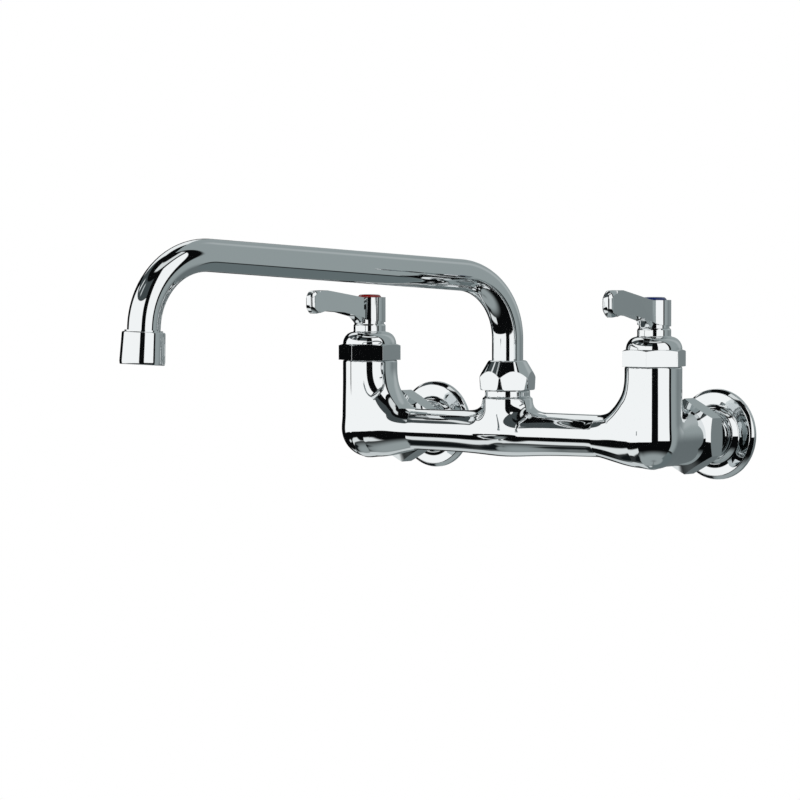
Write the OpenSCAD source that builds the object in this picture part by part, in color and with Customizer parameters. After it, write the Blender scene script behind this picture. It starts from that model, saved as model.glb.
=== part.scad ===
// Wall-mounted mixing faucet with two levers and a swinging spout.
// The origin is midway between the two inlets on the wall plane.
// +X is the user's right, +Y goes into the wall and +Z is up. The hot side is at -X.

/* [Body casting] */
// Distance between the two inlets
inlet_centres = 203.2; // [180:0.2:240]
// Distance from the wall to the valve and spout axes
wall_to_valve = 66; // [60:0.5:80]
// Diameter of each valve column
column_d = 31.6; // [31.2:0.1:34]
// Height of the shoulder under each bonnet nut, above the inlets
column_top = 40.5; // [38:0.5:48]
// Diameter of the round elbow where column and inlet boss meet
elbow_d = 33.2; // [33:0.1:36]
// Diameter of the plain part of each inlet boss
inlet_boss_d = 32.4; // [32:0.1:34]
// Thinnest diameter of the crossbar
bar_d = 19.8; // [18:0.1:24]
// Diameter of the crossbar at the spout
bar_mid_d = 26; // [24:0.1:30]
// Half length of the crossbar's swelling at the spout
bar_swell = 70; // [55:1:80]
// How far from a valve axis its column starts to sweep up out of the crossbar
sweep_reach = 38; // [32:1:44]
// Diameter of the waterway along the crossbar
bar_bore_d = 11; // [8:0.5:12]
// Diameter of the cartridge chamber in each column
chamber_d = 22; // [21.6:0.1:22.6]
// Height of the seat that the cartridge's gasket presses on
seat_height = 16.5; // [14:0.5:18]
// Diameter of the bore up through that seat
seat_bore_d = 10; // [7:0.5:10.5]
// Height of the threaded neck above each column's shoulder
column_neck_h = 6; // [5:0.5:7]
// Outside diameter of the thread on each column's neck
column_thread_d = 26.8; // [26:0.1:27.4]
// Step from the spout boss in to its ring
spout_boss_step = 1.5; // [1:0.1:2.5]
// Height of the spout boss's shoulder
spout_boss_top = 20.7; // [19:0.1:23]
// Step from that ring in to the collar's thread
boss_ring_step = 0.7; // [0.3:0.1:1.2]
// Height of that ring
boss_ring_h = 4.3; // [3:0.1:6]
// Wall of the threaded collar round the ferrule
collar_wall = 1.9; // [1.6:0.1:2]
// Length of the collar's thread
spout_thread_h = 8; // [7:0.5:9]
// Wall of the ferrule round the tube
ferrule_wall = 1.4; // [1.2:0.1:1.7]
// Height of the floor under the ferrule
spout_socket_floor = 9; // [8:0.5:10]

/* [Wall unions] */
// Outside diameter of each inlet shank
shank_d = 25.2; // [24.6:0.1:25.6]
// Diameter of the waterway through the shank
shank_bore_d = 13; // [10:0.5:14]
// Diameter of the female supply thread at its crests
supply_thread_d = 18.6; // [18:0.1:19]
// Depth of the female supply thread
supply_thread_depth = 15; // [12:0.5:17]
// Diameter of the collar that the nut pulls on
collar_d = 30.6; // [30:0.1:31]
// Thickness of that collar
collar_t = 2.4; // [2:0.1:3.5]
// Thickness of the union washer
union_washer_t = 2; // [1.5:0.1:2.5]
// Outside diameter of the thread on the inlet boss
union_thread_d = 31.4; // [31:0.1:31.8]
// Length of that thread
union_thread_l = 6; // [5:0.1:7]
// Size across the flats of the coupling nut
coupling_af = 37.3; // [36.4:0.1:39]
// Distance from the wall to the coupling nut's back
coupling_back = 24.3; // [20:0.1:26]
// Thickness of the lip at the nut's back
coupling_lip_t = 2.3; // [2:0.1:3]
// Outside diameter of the wall flange
flange_d = 52; // [46:0.5:60]
// Depth of the wall flange's rim
flange_rim_h = 4.2; // [3:0.1:6]
// How far the wall flange's dome stands out from the wall
flange_h = 8; // [7:0.1:11]
// Thickness of the flange's sheet
flange_t = 1.4; // [1:0.1:2]

/* [Bonnet nuts] */
// Size across the flats of the bonnet nut
bonnet_af = 32; // [31:0.1:34]
// Height of the hexagon
bonnet_hex_h = 9.2; // [8.6:0.1:11]
// Slope of the chamfer on the hexagon's corners
bonnet_slope = 20; // [10:1:35]
// Radius of the rounded shoulder on top of the hexagon
bonnet_dome_r = 7.4; // [6:0.1:7.8]
// Diameter of the bonnet's neck
bonnet_neck_d = 19; // [18.6:0.1:20]
// Height of the bonnet's neck
bonnet_neck_h = 4.7; // [4:0.1:6]
// Turn of the hot hexagon about its axis
hot_bonnet_turn = 33.5; // [0:0.5:60]
// Turn of the cold hexagon about its axis
cold_bonnet_turn = 50; // [0:0.5:60]

/* [Cartridges] */
// Inside diameter of the cartridge barrel
barrel_bore_d = 18.6; // [18:0.1:19]
// Diameter of the barrel's clamped flange
barrel_flange_d = 26.2; // [25:0.1:26.4]
// Thickness of that flange
barrel_flange_t = 2.2; // [1.8:0.1:2.5]
// Outside diameter of the barrel's upper tube
barrel_neck_d = 15.6; // [14.6:0.1:16]
// Height of the seat gasket
gasket_h = 2.6; // [2:0.1:3]
// Thickness of the fixed ceramic disc
fixed_disc_t = 3.3; // [2.5:0.1:3.6]
// Thickness of the turning ceramic disc
turning_disc_t = 3.6; // [3:0.1:3.8]
// Height of the stem's foot
stem_foot_h = 3.2; // [2.5:0.1:3.5]
// Thickness of the thrust washer
thrust_washer_t = 0.8; // [0.5:0.1:1]
// Diameter of the ports through the discs
disc_port_d = 5; // [3:0.1:5.6]
// Diameter of the valve stem
stem_d = 9.6; // [9:0.1:10]
// Side of the square on top of the stem
stem_square = 6.6; // [6:0.1:6.7]
// Height of that square
stem_square_h = 7.8; // [6:0.1:8]
// Section diameter of the stem's o-rings
stem_ring_d = 1.4; // [1.2:0.1:1.8]
// Thickness of the stem's snap ring
stem_clip_t = 0.9; // [0.8:0.1:1]

/* [Lever handles] */
// Diameter of the lever's hub
hub_d = 18.4; // [17.6:0.1:20]
// Height of the lever's hub
hub_h = 15; // [14.6:0.1:18]
// Distance from the hub's axis to the lever's tip
lever_reach = 50.5; // [40:0.5:58]
// Width of the lever beside the hub
lever_root_w = 8.6; // [7:0.1:12]
// Width of the lever near its tip
lever_tip_w = 6.6; // [5:0.1:9]
// Height of the lever's blade
blade_h = 12; // [10:0.1:13]
// How far the lever's top climbs above the hub
blade_rise = 4.4; // [2:0.1:6]
// How far the hot lever is turned out from closed, as pictured
hot_lever_out = 6.3; // [0:0.1:90]
// How far the cold lever is turned out from closed, as pictured
cold_lever_out = 2.5; // [0:0.1:90]
// Diameter of the index button
button_d = 13.9; // [12:0.1:14.5]
// How far the index button stands above the hub
button_rise = 1.7; // [1:0.1:2.5]
// Depth of the button's recess
button_recess = 2; // [1.6:0.1:2.4]
// Diameter of the handle screw's head
screw_head_d = 9; // [8:0.1:9.6]
// Height of the handle screw's head
screw_head_h = 2.8; // [2:0.1:3]
// Diameter of the handle screw's thread
screw_d = 5; // [4:0.5:5]
// Length of the handle screw's thread
screw_l = 10; // [8:0.5:12]

/* [Spout] */
// Outside diameter of the spout tube
tube_d = 18; // [17.6:0.1:18.4]
// Wall thickness of the spout tube
tube_wall = 1; // [0.8:0.1:1.3]
// Distance from the riser's axis to the middle of the outlet
spout_reach = 252; // [200:1:300]
// Height that the tube's straight run would have over the riser's axis
tube_height = 89.1; // [84:0.1:110]
// Angle at which the straight run climbs towards the outlet
tube_climb = 3.7; // [0:0.1:6]
// Bend radius over the riser
riser_bend_r = 37; // [30:0.5:44]
// Bend radius over the outlet
outlet_bend_r = 40; // [30:0.5:40.5]
// Outward lean of the outlet
outlet_lean = 3.5; // [0:0.1:4]
// How far the middle of the outlet's face lies below that height
outlet_drop = 44.9; // [43:0.1:49]
// How far the spout is swung towards the hot side, as pictured
spout_swing = 14.4; // [-60:0.1:60]
// Wall of the spout nut behind its flats
spout_nut_wall = 2.25; // [2:0.05:3.2]
// Overall height of the spout nut
spout_nut_h = 17; // [16:0.1:19]
// Height of the full hexagon under the nut's cone
spout_nut_hex_h = 7.4; // [6:0.1:9]
// Width of the nut's top round the tube
spout_nut_lip = 1.7; // [1.3:0.1:2.5]
// Turn of the spout nut's hexagon about its axis
spout_nut_turn = 49.7; // [0:0.1:60]
// How far the ferrule's flange stands out
ferrule_flange_w = 1.4; // [1.1:0.1:1.6]
// Thickness of that flange
ferrule_flange_t = 2.4; // [2:0.1:3]
// Thickness of the plastic washer under the flange
glide_washer_t = 1; // [0.8:0.1:1.2]
// Thickness of the plastic ring over the flange
glide_ring_t = 1.2; // [1:0.1:1.4]
// Depth to which the tube enters the ferrule
tube_seat_depth = 12; // [8:0.5:14]
// Section diameter of the ferrule's o-rings
ferrule_ring_d = 1.8; // [1.5:0.1:2]

/* [Outlet] */
// Wall of the aerator housing at its mouth
housing_mouth_wall = 1.9; // [1.6:0.1:2.6]
// Wall of the aerator housing at its top
housing_top_wall = 1.3; // [1.1:0.1:1.6]
// Height of the aerator housing
housing_h = 17.6; // [16.6:0.1:20]
// Wall of the outlet adapter round the tube
adapter_wall = 1.4; // [1.35:0.05:1.6]
// Width of the lip round the open mouth
mouth_lip_w = 1.1; // [0.9:0.1:1.9]
// Thickness of the lip round the mouth
mouth_lip_t = 1.4; // [1:0.1:1.8]
// Thickness of the outlet screen
screen_t = 0.8; // [0.6:0.1:1]
// Height of the aerator's plastic insert
insert_h = 6.4; // [5:0.1:7]
// Thickness of the aerator washer
aerator_washer_t = 1.8; // [1.4:0.1:2.2]
// How far the outlet adapter shows above the housing
adapter_show = 0.8; // [0.5:0.1:1.5]
// Rings of holes in the outlet screen
screen_rings = 4; // [2:1:5]

/* [Hidden] */
$fn = 64;
hot = -1;
cold = 1;
// Gap between pieces that slide together and are then clamped
seat_gap = 0.1;
// Radial gap round a shaft that turns
run_gap = 0.08;
// Gap round a piece that is only centred loosely
loose_gap = 0.25;
// How far a cutting shape overshoots the surface that it opens
overrun = 1;
// Corner softening on turned edges
edge_r = 0.6;
valve_x = inlet_centres / 2;

// Levels along an inlet, measured from the wall towards the valve
lip_front = coupling_back + coupling_lip_t;
collar_front = lip_front + collar_t;
boss_end = collar_front + union_washer_t;
coupling_front = boss_end + union_thread_l;

// Levels up a valve column
neck_top = column_top + column_neck_h;
disc_seat = seat_height + gasket_h;
disc_joint = disc_seat + fixed_disc_t;
foot_bottom = disc_joint + turning_disc_t;
foot_top = foot_bottom + stem_foot_h;
barrel_ceiling = foot_top + thrust_washer_t;
flange_top = neck_top + barrel_flange_t;
hex_top = column_top + bonnet_hex_h;
dome_top = hex_top + bonnet_dome_r;
bonnet_top = dome_top + bonnet_neck_h;
// Gap that shows between the bonnet's neck and the hub
hub_gap = 0.8;
hub_bottom = bonnet_top + hub_gap;
hub_top = hub_bottom + hub_h;
stem_top = hub_bottom + stem_square_h;
// Room over the barrel for the snap ring
clip_gap = 0.15;
barrel_top = bonnet_top - stem_clip_t - 2 * clip_gap;
clip_bottom = barrel_top + clip_gap;
// The barrel starts a little above the seat, so that the gasket stands proud of it
barrel_bottom = seat_height + gasket_h / 5;
button_floor = hub_top - button_recess;
// Space between the screw's head and the button
head_gap = 0.2;
head_seat = button_floor - head_gap - screw_head_h;

// Diameters round the tube, from the tube outwards
spout_socket_d = tube_d + 2 * ferrule_wall;
spout_thread_d = spout_socket_d + 2 * collar_wall;
boss_ring_d = spout_thread_d + 2 * boss_ring_step;
spout_boss_d = boss_ring_d + 2 * spout_boss_step;
spout_nut_af = spout_thread_d + 2 * spout_nut_wall;
spout_nut_top_d = tube_d + 2 * spout_nut_lip;
ferrule_flange_d = spout_socket_d + 2 * ferrule_flange_w;
housing_bore_d = tube_d + 2 * adapter_wall;
housing_mouth_d = housing_bore_d + 2 * housing_mouth_wall;
housing_top_d = housing_bore_d + 2 * housing_top_wall;
mouth_d = housing_bore_d - 2 * mouth_lip_w;

// Levels up the spout's swivel
ring_top = spout_boss_top + boss_ring_h;
boss_top = ring_top + spout_thread_h;
ferrule_flange_bottom = boss_top + glide_washer_t;
ferrule_flange_top = ferrule_flange_bottom + ferrule_flange_t;
nut_ceiling = ferrule_flange_top + glide_ring_t;
tube_foot = ferrule_flange_top - tube_seat_depth;
ferrule_foot = spout_socket_floor + overrun;

outlet_height = tube_height - outlet_drop;

// The spout's line in its own plane: distance out from the riser, and height
first_arc_z = tube_height + riser_bend_r * tan(tube_climb) - riser_bend_r / cos(tube_climb);
first_arc_end = [riser_bend_r * (1 - sin(tube_climb)), first_arc_z + riser_bend_r * cos(tube_climb)];
leg_length = (outlet_drop + spout_reach * tan(tube_climb))
    / (cos(outlet_lean) + tan(tube_climb) * sin(outlet_lean));
corner = [spout_reach - leg_length * sin(outlet_lean), outlet_height + leg_length * cos(outlet_lean)];
outlet_turn = 90 + tube_climb - outlet_lean;
corner_cut = outlet_bend_r * tan(outlet_turn / 2);
second_arc_start = corner - corner_cut * [cos(tube_climb), sin(tube_climb)];
straight_l = norm(second_arc_start - first_arc_end);

// Levels up the outlet, along its own axis from the mouth
screen_bottom = mouth_lip_t;
insert_bottom = screen_bottom + screen_t;
washer_bottom = insert_bottom + insert_h;
adapter_bottom = washer_bottom + aerator_washer_t;
tube_leg_l = leg_length - corner_cut - adapter_bottom;

bright = "gainsboro";
brass = "darkkhaki";
rubber = "dimgray";
ceramic = "whitesmoke";
plastic = "ivory";

function arc_points(cx, cy, r, from, to, steps) =
    [for (i = [0:steps]) let (a = from + (to - from) * i / steps) [cx + r * cos(a), cy + r * sin(a)]];

module ring(outer_d, inner_d, h) {
    difference() {
        cylinder(d = outer_d, h = h);
        translate([0, 0, -overrun]) cylinder(d = inner_d, h = h + 2 * overrun);
    }
}

// Corners of the hexagon lie on the local X axis
module hex_bar(af, h) {
    cylinder(d = af / cos(30), h = h, $fn = 6);
}

module o_ring(centre_d, section_d) {
    rotate_extrude() translate([centre_d / 2, 0]) circle(d = section_d, $fn = 32);
}

// Local Z runs from the wall out towards the valve
module at_inlet(side) {
    translate([side * valve_x, 0, 0]) rotate([90, 0, 0]) children();
}

module at_column(side) {
    translate([side * valve_x, -wall_to_valve, 0]) children();
}

// Local X runs along the lever
module at_lever(side) {
    turned = side == hot ? hot_lever_out : cold_lever_out;
    at_column(side) rotate([0, 0, -90 + side * turned]) children();
}

// Local X runs out along the spout
module at_spout() {
    translate([0, -wall_to_valve, 0]) rotate([0, 0, -90 - spout_swing]) children();
}

// Local Z runs up the outlet's axis from the middle of its mouth
module at_outlet() {
    at_spout() translate([spout_reach, 0, outlet_height]) rotate([0, -outlet_lean, 0]) children();
}

// Crossbar casting: oval sections, tall where it sweeps up into the columns and the spout boss
function swell(x, reach) = pow(cos(90 * min(1, abs(x) / reach)), 2);
function bar_half(x) = bar_d / 2 + (bar_mid_d - bar_d) / 2 * swell(x, bar_swell);
// The boss stands wholly inside the crossbar's depth
function bar_depth(x) = bar_half(x) + (spout_boss_d - bar_mid_d + overrun) / 2 * swell(x, bar_swell / 2);

bar_steps = 8;
sweep_steps = 9;
boss_steps = 4;
section_sides = 28;
sweep_top = column_top - edge_r;
// How much the crossbar's underside swells where it meets a column
sweep_under = 2.6;
// How far from the spout boss the crossbar starts to sweep up to it
boss_sweep = 8;
boss_sweep_top = spout_boss_top - edge_r * 3;
boss_sweep_end = spout_boss_d / 2 + boss_sweep;
sweep_start = valve_x - sweep_reach;

function sweep_x(t) = sweep_start + (sweep_reach - column_d / 2) * t;
function sweep_z(t) = bar_half(sweep_start) + (sweep_top - bar_half(sweep_start)) * pow(t, 2);
function sweep_half(t) = bar_half(sweep_x(t)) + sweep_under * pow(t, 2);
function boss_x(a) = boss_sweep_end - boss_sweep * sin(a);
function boss_z(a) = boss_sweep_top - (boss_sweep_top - bar_half(boss_sweep_end)) * cos(a);

// Each station is its place along X, its height, its half depth and its depth below the axis
half_stations = concat(
    [[0, boss_sweep_top, bar_depth(0), bar_half(0)]],
    [for (i = [boss_steps:-1:0]) let (a = 80 * i / boss_steps, x = boss_x(a))
        [x, boss_z(a), bar_depth(x), bar_half(x)]],
    [for (i = [1:bar_steps]) let (x = boss_sweep_end + (sweep_start - boss_sweep_end) * i / bar_steps)
        [x, bar_half(x), bar_depth(x), bar_half(x)]],
    [for (i = [1:sweep_steps]) let (t = i / sweep_steps)
        [sweep_x(t), sweep_z(t), sweep_half(t), sweep_half(t)]],
    [[valve_x - column_d / 3, sweep_top, sweep_half(1), sweep_half(1)]]);
last_station = len(half_stations) - 1;
mirrored_stations = [for (i = [last_station:-1:1]) let (s = half_stations[i]) [-s[0], s[1], s[2], s[3]]];
stations = concat(mirrored_stations, half_stations);

function section_points(s) = [for (k = [0:section_sides - 1]) let (a = 360 * (k + 0.5) / section_sides)
    [s[0], s[2] * cos(a) - wall_to_valve, sin(a) * (sin(a) > 0 ? s[1] : s[3])]];

module crossbar() {
    rings = len(stations);
    points = [for (s = stations) each section_points(s)];
    sides = [for (i = [0:rings - 2], k = [0:section_sides - 1])
        let (a = i * section_sides + k, b = i * section_sides + (k + 1) % section_sides)
        each [[a, b + section_sides, b], [a, a + section_sides, b + section_sides]]];
    near_end = [for (k = [1:section_sides - 2]) [0, k, k + 1]];
    far = (rings - 1) * section_sides;
    far_end = [for (k = [1:section_sides - 2]) [far, far + k + 1, far + k]];
    polyhedron(points = points, faces = concat(sides, near_end, far_end));
}

module valve_column(side) {
    at_column(side) {
        translate([0, 0, -elbow_d / 8]) cylinder(d = column_d, h = column_top + elbow_d / 8);
        cylinder(d = column_thread_d, h = neck_top);
        sphere(d = elbow_d);
    }
    at_inlet(side) {
        translate([0, 0, coupling_front]) cylinder(d = inlet_boss_d, h = wall_to_valve - coupling_front);
        translate([0, 0, boss_end]) cylinder(d = union_thread_d, h = wall_to_valve - boss_end);
    }
}

module spout_boss() {
    r = spout_boss_d / 2;
    translate([0, -wall_to_valve, 0]) {
        rotate_extrude() polygon(concat([[0, -r / 2], [r, -r / 2], [r, spout_boss_top - edge_r]],
            [[r - edge_r, spout_boss_top], [0, spout_boss_top]]));
        cylinder(d = boss_ring_d, h = ring_top);
        cylinder(d = spout_thread_d, h = boss_top);
    }
}

// The channel from a cartridge chamber down to the crossbar's waterway
feed_d = bar_bore_d * 0.65;
feed_foot = [column_d * 0.75, 0];
feed_head = [chamber_d * 0.42, disc_joint + turning_disc_t];

module feed_channel(side) {
    run = feed_head - feed_foot;
    translate([side * (valve_x - feed_foot[0]), -wall_to_valve, feed_foot[1]])
        rotate([0, side * atan2(-run[0], run[1]), 0]) cylinder(d = feed_d, h = norm(run));
}

module faucet_body() {
    color(bright) difference() {
        union() {
            crossbar();
            spout_boss();
            for (side = [hot, cold]) valve_column(side);
        }
        for (side = [hot, cold]) {
            at_column(side) {
                cylinder(d = seat_bore_d, h = seat_height + overrun);
                translate([0, 0, seat_height]) cylinder(d = chamber_d, h = neck_top - seat_height + overrun);
            }
            at_inlet(side) translate([0, 0, boss_end - overrun])
                cylinder(d = shank_bore_d, h = wall_to_valve - boss_end + overrun);
            feed_channel(side);
        }
        translate([feed_foot[0] - valve_x, -wall_to_valve, 0]) rotate([0, 90, 0])
            cylinder(d = bar_bore_d, h = 2 * (valve_x - feed_foot[0]));
        translate([0, -wall_to_valve, 0]) cylinder(d = shank_bore_d, h = spout_socket_floor + overrun);
        translate([0, -wall_to_valve, spout_socket_floor])
            cylinder(d = spout_socket_d, h = boss_top - spout_socket_floor + overrun);
    }
}

module inlet_shank(side) {
    color(bright) at_inlet(side) difference() {
        union() {
            cylinder(d = shank_d, h = collar_front);
            translate([0, 0, lip_front]) cylinder(d = collar_d, h = collar_t);
        }
        translate([0, 0, -overrun]) cylinder(d = shank_bore_d, h = collar_front + 2 * overrun);
        translate([0, 0, -overrun]) cylinder(d = supply_thread_d, h = supply_thread_depth + overrun);
    }
}

module union_washer(side) {
    color(rubber) at_inlet(side) translate([0, 0, collar_front])
        ring(collar_d - 2 * seat_gap, shank_bore_d, union_washer_t);
}

module coupling_nut(side) {
    h = coupling_front - coupling_back;
    corner_d = coupling_af / cos(30);
    bevel = (corner_d - coupling_af) / 2;
    color(bright) at_inlet(side) translate([0, 0, coupling_back]) difference() {
        intersection() {
            rotate([0, 0, 90]) hex_bar(coupling_af, h);
            rotate_extrude() polygon([[0, 0], [corner_d / 2 - bevel, 0], [corner_d / 2, bevel / 2],
                [corner_d / 2, h - bevel], [corner_d / 2 - 2 * bevel, h], [0, h]]);
        }
        translate([0, 0, -overrun]) cylinder(d = shank_d + 2 * seat_gap, h = h + 2 * overrun);
        translate([0, 0, coupling_lip_t]) cylinder(d = union_thread_d + 2 * seat_gap, h = h);
    }
}

module wall_flange(side) {
    edge = flange_d / 2;
    hole = shank_d / 2 + loose_gap;
    crown = hole + flange_t;
    inner_rim = edge - flange_t;
    color(bright) at_inlet(side) rotate_extrude() polygon([[inner_rim, 0], [edge, 0],
        [edge, flange_rim_h - edge_r], [edge - edge_r, flange_rim_h],
        [edge - 2 * flange_t, flange_rim_h + edge_r],
        [crown + 2 * flange_t, flange_h - edge_r], [crown, flange_h], [hole, flange_h],
        [hole, flange_h - flange_t], [crown + flange_t, flange_h - flange_t - edge_r],
        [inner_rim, flange_rim_h - flange_t / 2]]);
}

// A tall hexagon cut by one turned outline, so that each flat runs up into the domed shoulder
module bonnet_nut(side) {
    neck_r = bonnet_neck_d / 2;
    dome_r = neck_r + bonnet_dome_r;
    corner_r = bonnet_af / 2 / cos(30);
    outside = corner_r + bonnet_dome_r;
    color(bright) at_column(side) difference() {
        intersection() {
            translate([0, 0, column_top]) rotate([0, 0, side == hot ? hot_bonnet_turn : cold_bonnet_turn])
                hex_bar(bonnet_af, bonnet_top - column_top);
            translate([0, 0, column_top]) rotate_extrude() polygon(concat(
                [[0, 0], [outside, 0], [outside, bonnet_hex_h - (outside - dome_r) * tan(bonnet_slope)]],
                arc_points(neck_r, bonnet_hex_h, bonnet_dome_r, 0, 90, 8),
                [[neck_r, bonnet_top - column_top], [0, bonnet_top - column_top]]));
        }
        translate([0, 0, column_top - overrun])
            cylinder(d = column_thread_d + 2 * seat_gap, h = flange_top - column_top + overrun);
        translate([0, 0, column_top]) cylinder(d = barrel_neck_d + 2 * seat_gap, h = bonnet_top);
    }
}

module cartridge_housing(side) {
    barrel_d = chamber_d - 2 * seat_gap;
    // Outlet windows through the barrel's wall, level with the turning disc
    window_w = barrel_bore_d / 2;
    window_h = turning_disc_t + stem_foot_h - edge_r;
    color(brass) at_column(side) difference() {
        union() {
            translate([0, 0, barrel_bottom]) cylinder(d = barrel_d, h = neck_top - barrel_bottom + overrun);
            translate([0, 0, neck_top]) cylinder(d = barrel_flange_d, h = barrel_flange_t);
            translate([0, 0, neck_top]) cylinder(d = barrel_neck_d, h = barrel_top - neck_top);
        }
        translate([0, 0, barrel_bottom - overrun])
            cylinder(d = barrel_bore_d, h = barrel_ceiling - barrel_bottom + overrun);
        cylinder(d = stem_d + 2 * run_gap, h = barrel_top + overrun);
        translate([-barrel_d, -window_w / 2, disc_joint + edge_r]) cube([2 * barrel_d, window_w, window_h]);
    }
}

module seat_gasket(side) {
    color(rubber) at_column(side) translate([0, 0, seat_height])
        ring(barrel_bore_d - 2 * seat_gap, seat_bore_d, gasket_h);
}

// Two round ports on opposite sides of a disc
module disc_ports(h) {
    for (s = [-1, 1]) translate([s * seat_bore_d * 0.29, 0, -overrun])
        cylinder(d = disc_port_d, h = h + 2 * overrun);
}

module fixed_disc(side) {
    color(ceramic) at_column(side) translate([0, 0, disc_seat]) difference() {
        cylinder(d = barrel_bore_d - 2 * seat_gap, h = fixed_disc_t);
        disc_ports(fixed_disc_t);
    }
}

// Width and depth of the slot by which the stem drives the turning disc
slot_w = stem_d * 0.4;
slot_depth = turning_disc_t * 0.4;

module turning_disc(side) {
    color(ceramic) at_lever(side) translate([0, 0, disc_joint]) difference() {
        cylinder(d = barrel_bore_d - 2 * loose_gap, h = turning_disc_t);
        disc_ports(turning_disc_t);
        translate([-barrel_bore_d, -slot_w / 2, turning_disc_t - slot_depth])
            cube([2 * barrel_bore_d, slot_w, slot_depth + overrun]);
    }
}

module thrust_washer(side) {
    color(plastic) at_column(side) translate([0, 0, foot_top])
        ring(barrel_bore_d - 2 * seat_gap, stem_d + 2 * loose_gap, thrust_washer_t);
}

// Heights of the stem's two seal grooves
stem_ring_levels = [barrel_ceiling + stem_ring_d * 3, neck_top];
stem_ring_floor = stem_d + run_gap - 2 * stem_ring_d;
clip_floor = stem_d - 2 * stem_clip_t;

module valve_stem(side) {
    foot_d = barrel_bore_d - 2 * loose_gap;
    groove_h = stem_ring_d + 2 * clip_gap;
    color(brass) at_lever(side) difference() {
        union() {
            translate([0, 0, foot_bottom]) cylinder(d = foot_d, h = stem_foot_h);
            translate([0, 0, foot_bottom]) cylinder(d = stem_d, h = hub_bottom - foot_bottom - hub_gap / 2);
            translate([-stem_square / 2, -stem_square / 2, foot_top])
                cube([stem_square, stem_square, stem_top - foot_top]);
            intersection() {
                translate([0, 0, foot_bottom - slot_depth]) cylinder(d = foot_d, h = slot_depth + overrun);
                translate([-foot_d, seat_gap - slot_w / 2, foot_bottom - slot_depth])
                    cube([2 * foot_d, slot_w - 2 * seat_gap, slot_depth + overrun]);
            }
        }
        for (z = stem_ring_levels) translate([0, 0, z - groove_h / 2])
            ring(2 * stem_d, stem_ring_floor, groove_h);
        translate([0, 0, clip_bottom]) ring(2 * stem_d, clip_floor, stem_clip_t);
        translate([0, 0, stem_top - screw_l]) cylinder(d = screw_d + 2 * seat_gap, h = screw_l + overrun);
    }
}

module stem_o_rings(side) {
    color(rubber) at_column(side) for (z = stem_ring_levels) translate([0, 0, z])
        o_ring(stem_d + run_gap - stem_ring_d, stem_ring_d - run_gap / 2);
}

// A snap ring with a gap, so that it can be pushed on from the side
module stem_clip(side) {
    clip_d = barrel_neck_d - 2 * loose_gap;
    color("silver") at_lever(side) translate([0, 0, clip_bottom]) difference() {
        ring(clip_d, clip_floor + seat_gap / 2, stem_clip_t);
        translate([0, -clip_floor / 4, -overrun]) cube([clip_d, clip_floor / 2, stem_clip_t + 2 * overrun]);
    }
}

// The blade in side view, seen with the lever's tip to the right
module blade_side() {
    top_rise = hub_top + blade_rise;
    throat = hub_d / 2 + lever_root_w / 4;
    crest = lever_reach * 0.78;
    under = top_rise - blade_h;
    foot = hub_bottom + hub_h * 0.27;
    drop = blade_h * 0.14;
    polygon(concat([[0, hub_top], [hub_d / 2, hub_top], [lever_reach / 2, hub_top + blade_rise * 0.55],
        [crest, top_rise], [lever_reach - edge_r * 2, top_rise - edge_r]],
        [[lever_reach, top_rise - blade_h * 0.18], [lever_reach + edge_r, top_rise - blade_h * 0.5],
        [lever_reach - edge_r, under + drop / 2]],
        [[lever_reach - blade_h * 0.28, under - drop / 2], [lever_reach * 0.88, under - drop],
        [crest, under], [lever_reach * 0.5, foot + blade_rise * 0.6], [throat, foot]],
        [[hub_d / 2 - edge_r, hub_bottom + hub_h * 0.1], [hub_d / 2 - edge_r, hub_bottom], [0, hub_bottom]]));
}

// The lever in plan: a hub-wide root that narrows to a rounded tip
module blade_plan() {
    tip = lever_tip_w / 2;
    polygon(concat([[0, -lever_root_w / 2]], arc_points(lever_reach - tip / 2, -tip / 2, tip / 2, -90, 0, 4),
        arc_points(lever_reach - tip / 2, tip / 2, tip / 2, 0, 90, 4), [[0, lever_root_w / 2]]));
}

module lever_handle(side) {
    blade_top = hub_top + blade_rise;
    color(bright) at_lever(side) difference() {
        union() {
            translate([0, 0, hub_bottom]) cylinder(d = hub_d, h = hub_h);
            intersection() {
                translate([0, hub_d / 2, 0]) rotate([90, 0, 0]) linear_extrude(height = hub_d) blade_side();
                translate([0, 0, hub_bottom - overrun]) linear_extrude(height = blade_top) blade_plan();
            }
        }
        translate([-stem_square / 2 - seat_gap, -stem_square / 2 - seat_gap, hub_bottom - overrun])
            cube([stem_square + 2 * seat_gap, stem_square + 2 * seat_gap, stem_square_h + overrun]);
        cylinder(d = screw_d + 2 * loose_gap, h = hub_top);
        translate([0, 0, head_seat]) cylinder(d = screw_head_d + 2 * loose_gap, h = hub_h);
        translate([0, 0, button_floor]) cylinder(d = button_d + 2 * seat_gap, h = hub_h);
    }
}

module handle_screw(side) {
    // Depth and width of the driver's cross
    cross_depth = screw_head_h / 2;
    cross_w = screw_d / 5;
    color("silver") at_lever(side) difference() {
        union() {
            translate([0, 0, head_seat]) cylinder(d = screw_head_d, h = screw_head_h);
            translate([0, 0, stem_top - screw_l + overrun])
                cylinder(d = screw_d, h = head_seat - stem_top + screw_l);
        }
        for (a = [0, 90]) rotate([0, 0, a])
            translate([-screw_d / 2, -cross_w / 2, head_seat + screw_head_h - cross_depth])
                cube([screw_d, cross_w, cross_depth + overrun]);
    }
}

module index_button(side) {
    h = button_recess + button_rise;
    color(side == hot ? "firebrick" : "mediumblue") at_column(side) translate([0, 0, button_floor])
        rotate_extrude() polygon(concat([[0, 0], [button_d / 2, 0]],
            arc_points(button_d / 2 - edge_r, h - edge_r, edge_r, 0, 90, 4),
            [[button_d / 2 - 3 * edge_r, h - edge_r / 2], [0, h - edge_r / 2]]));
}

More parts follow.
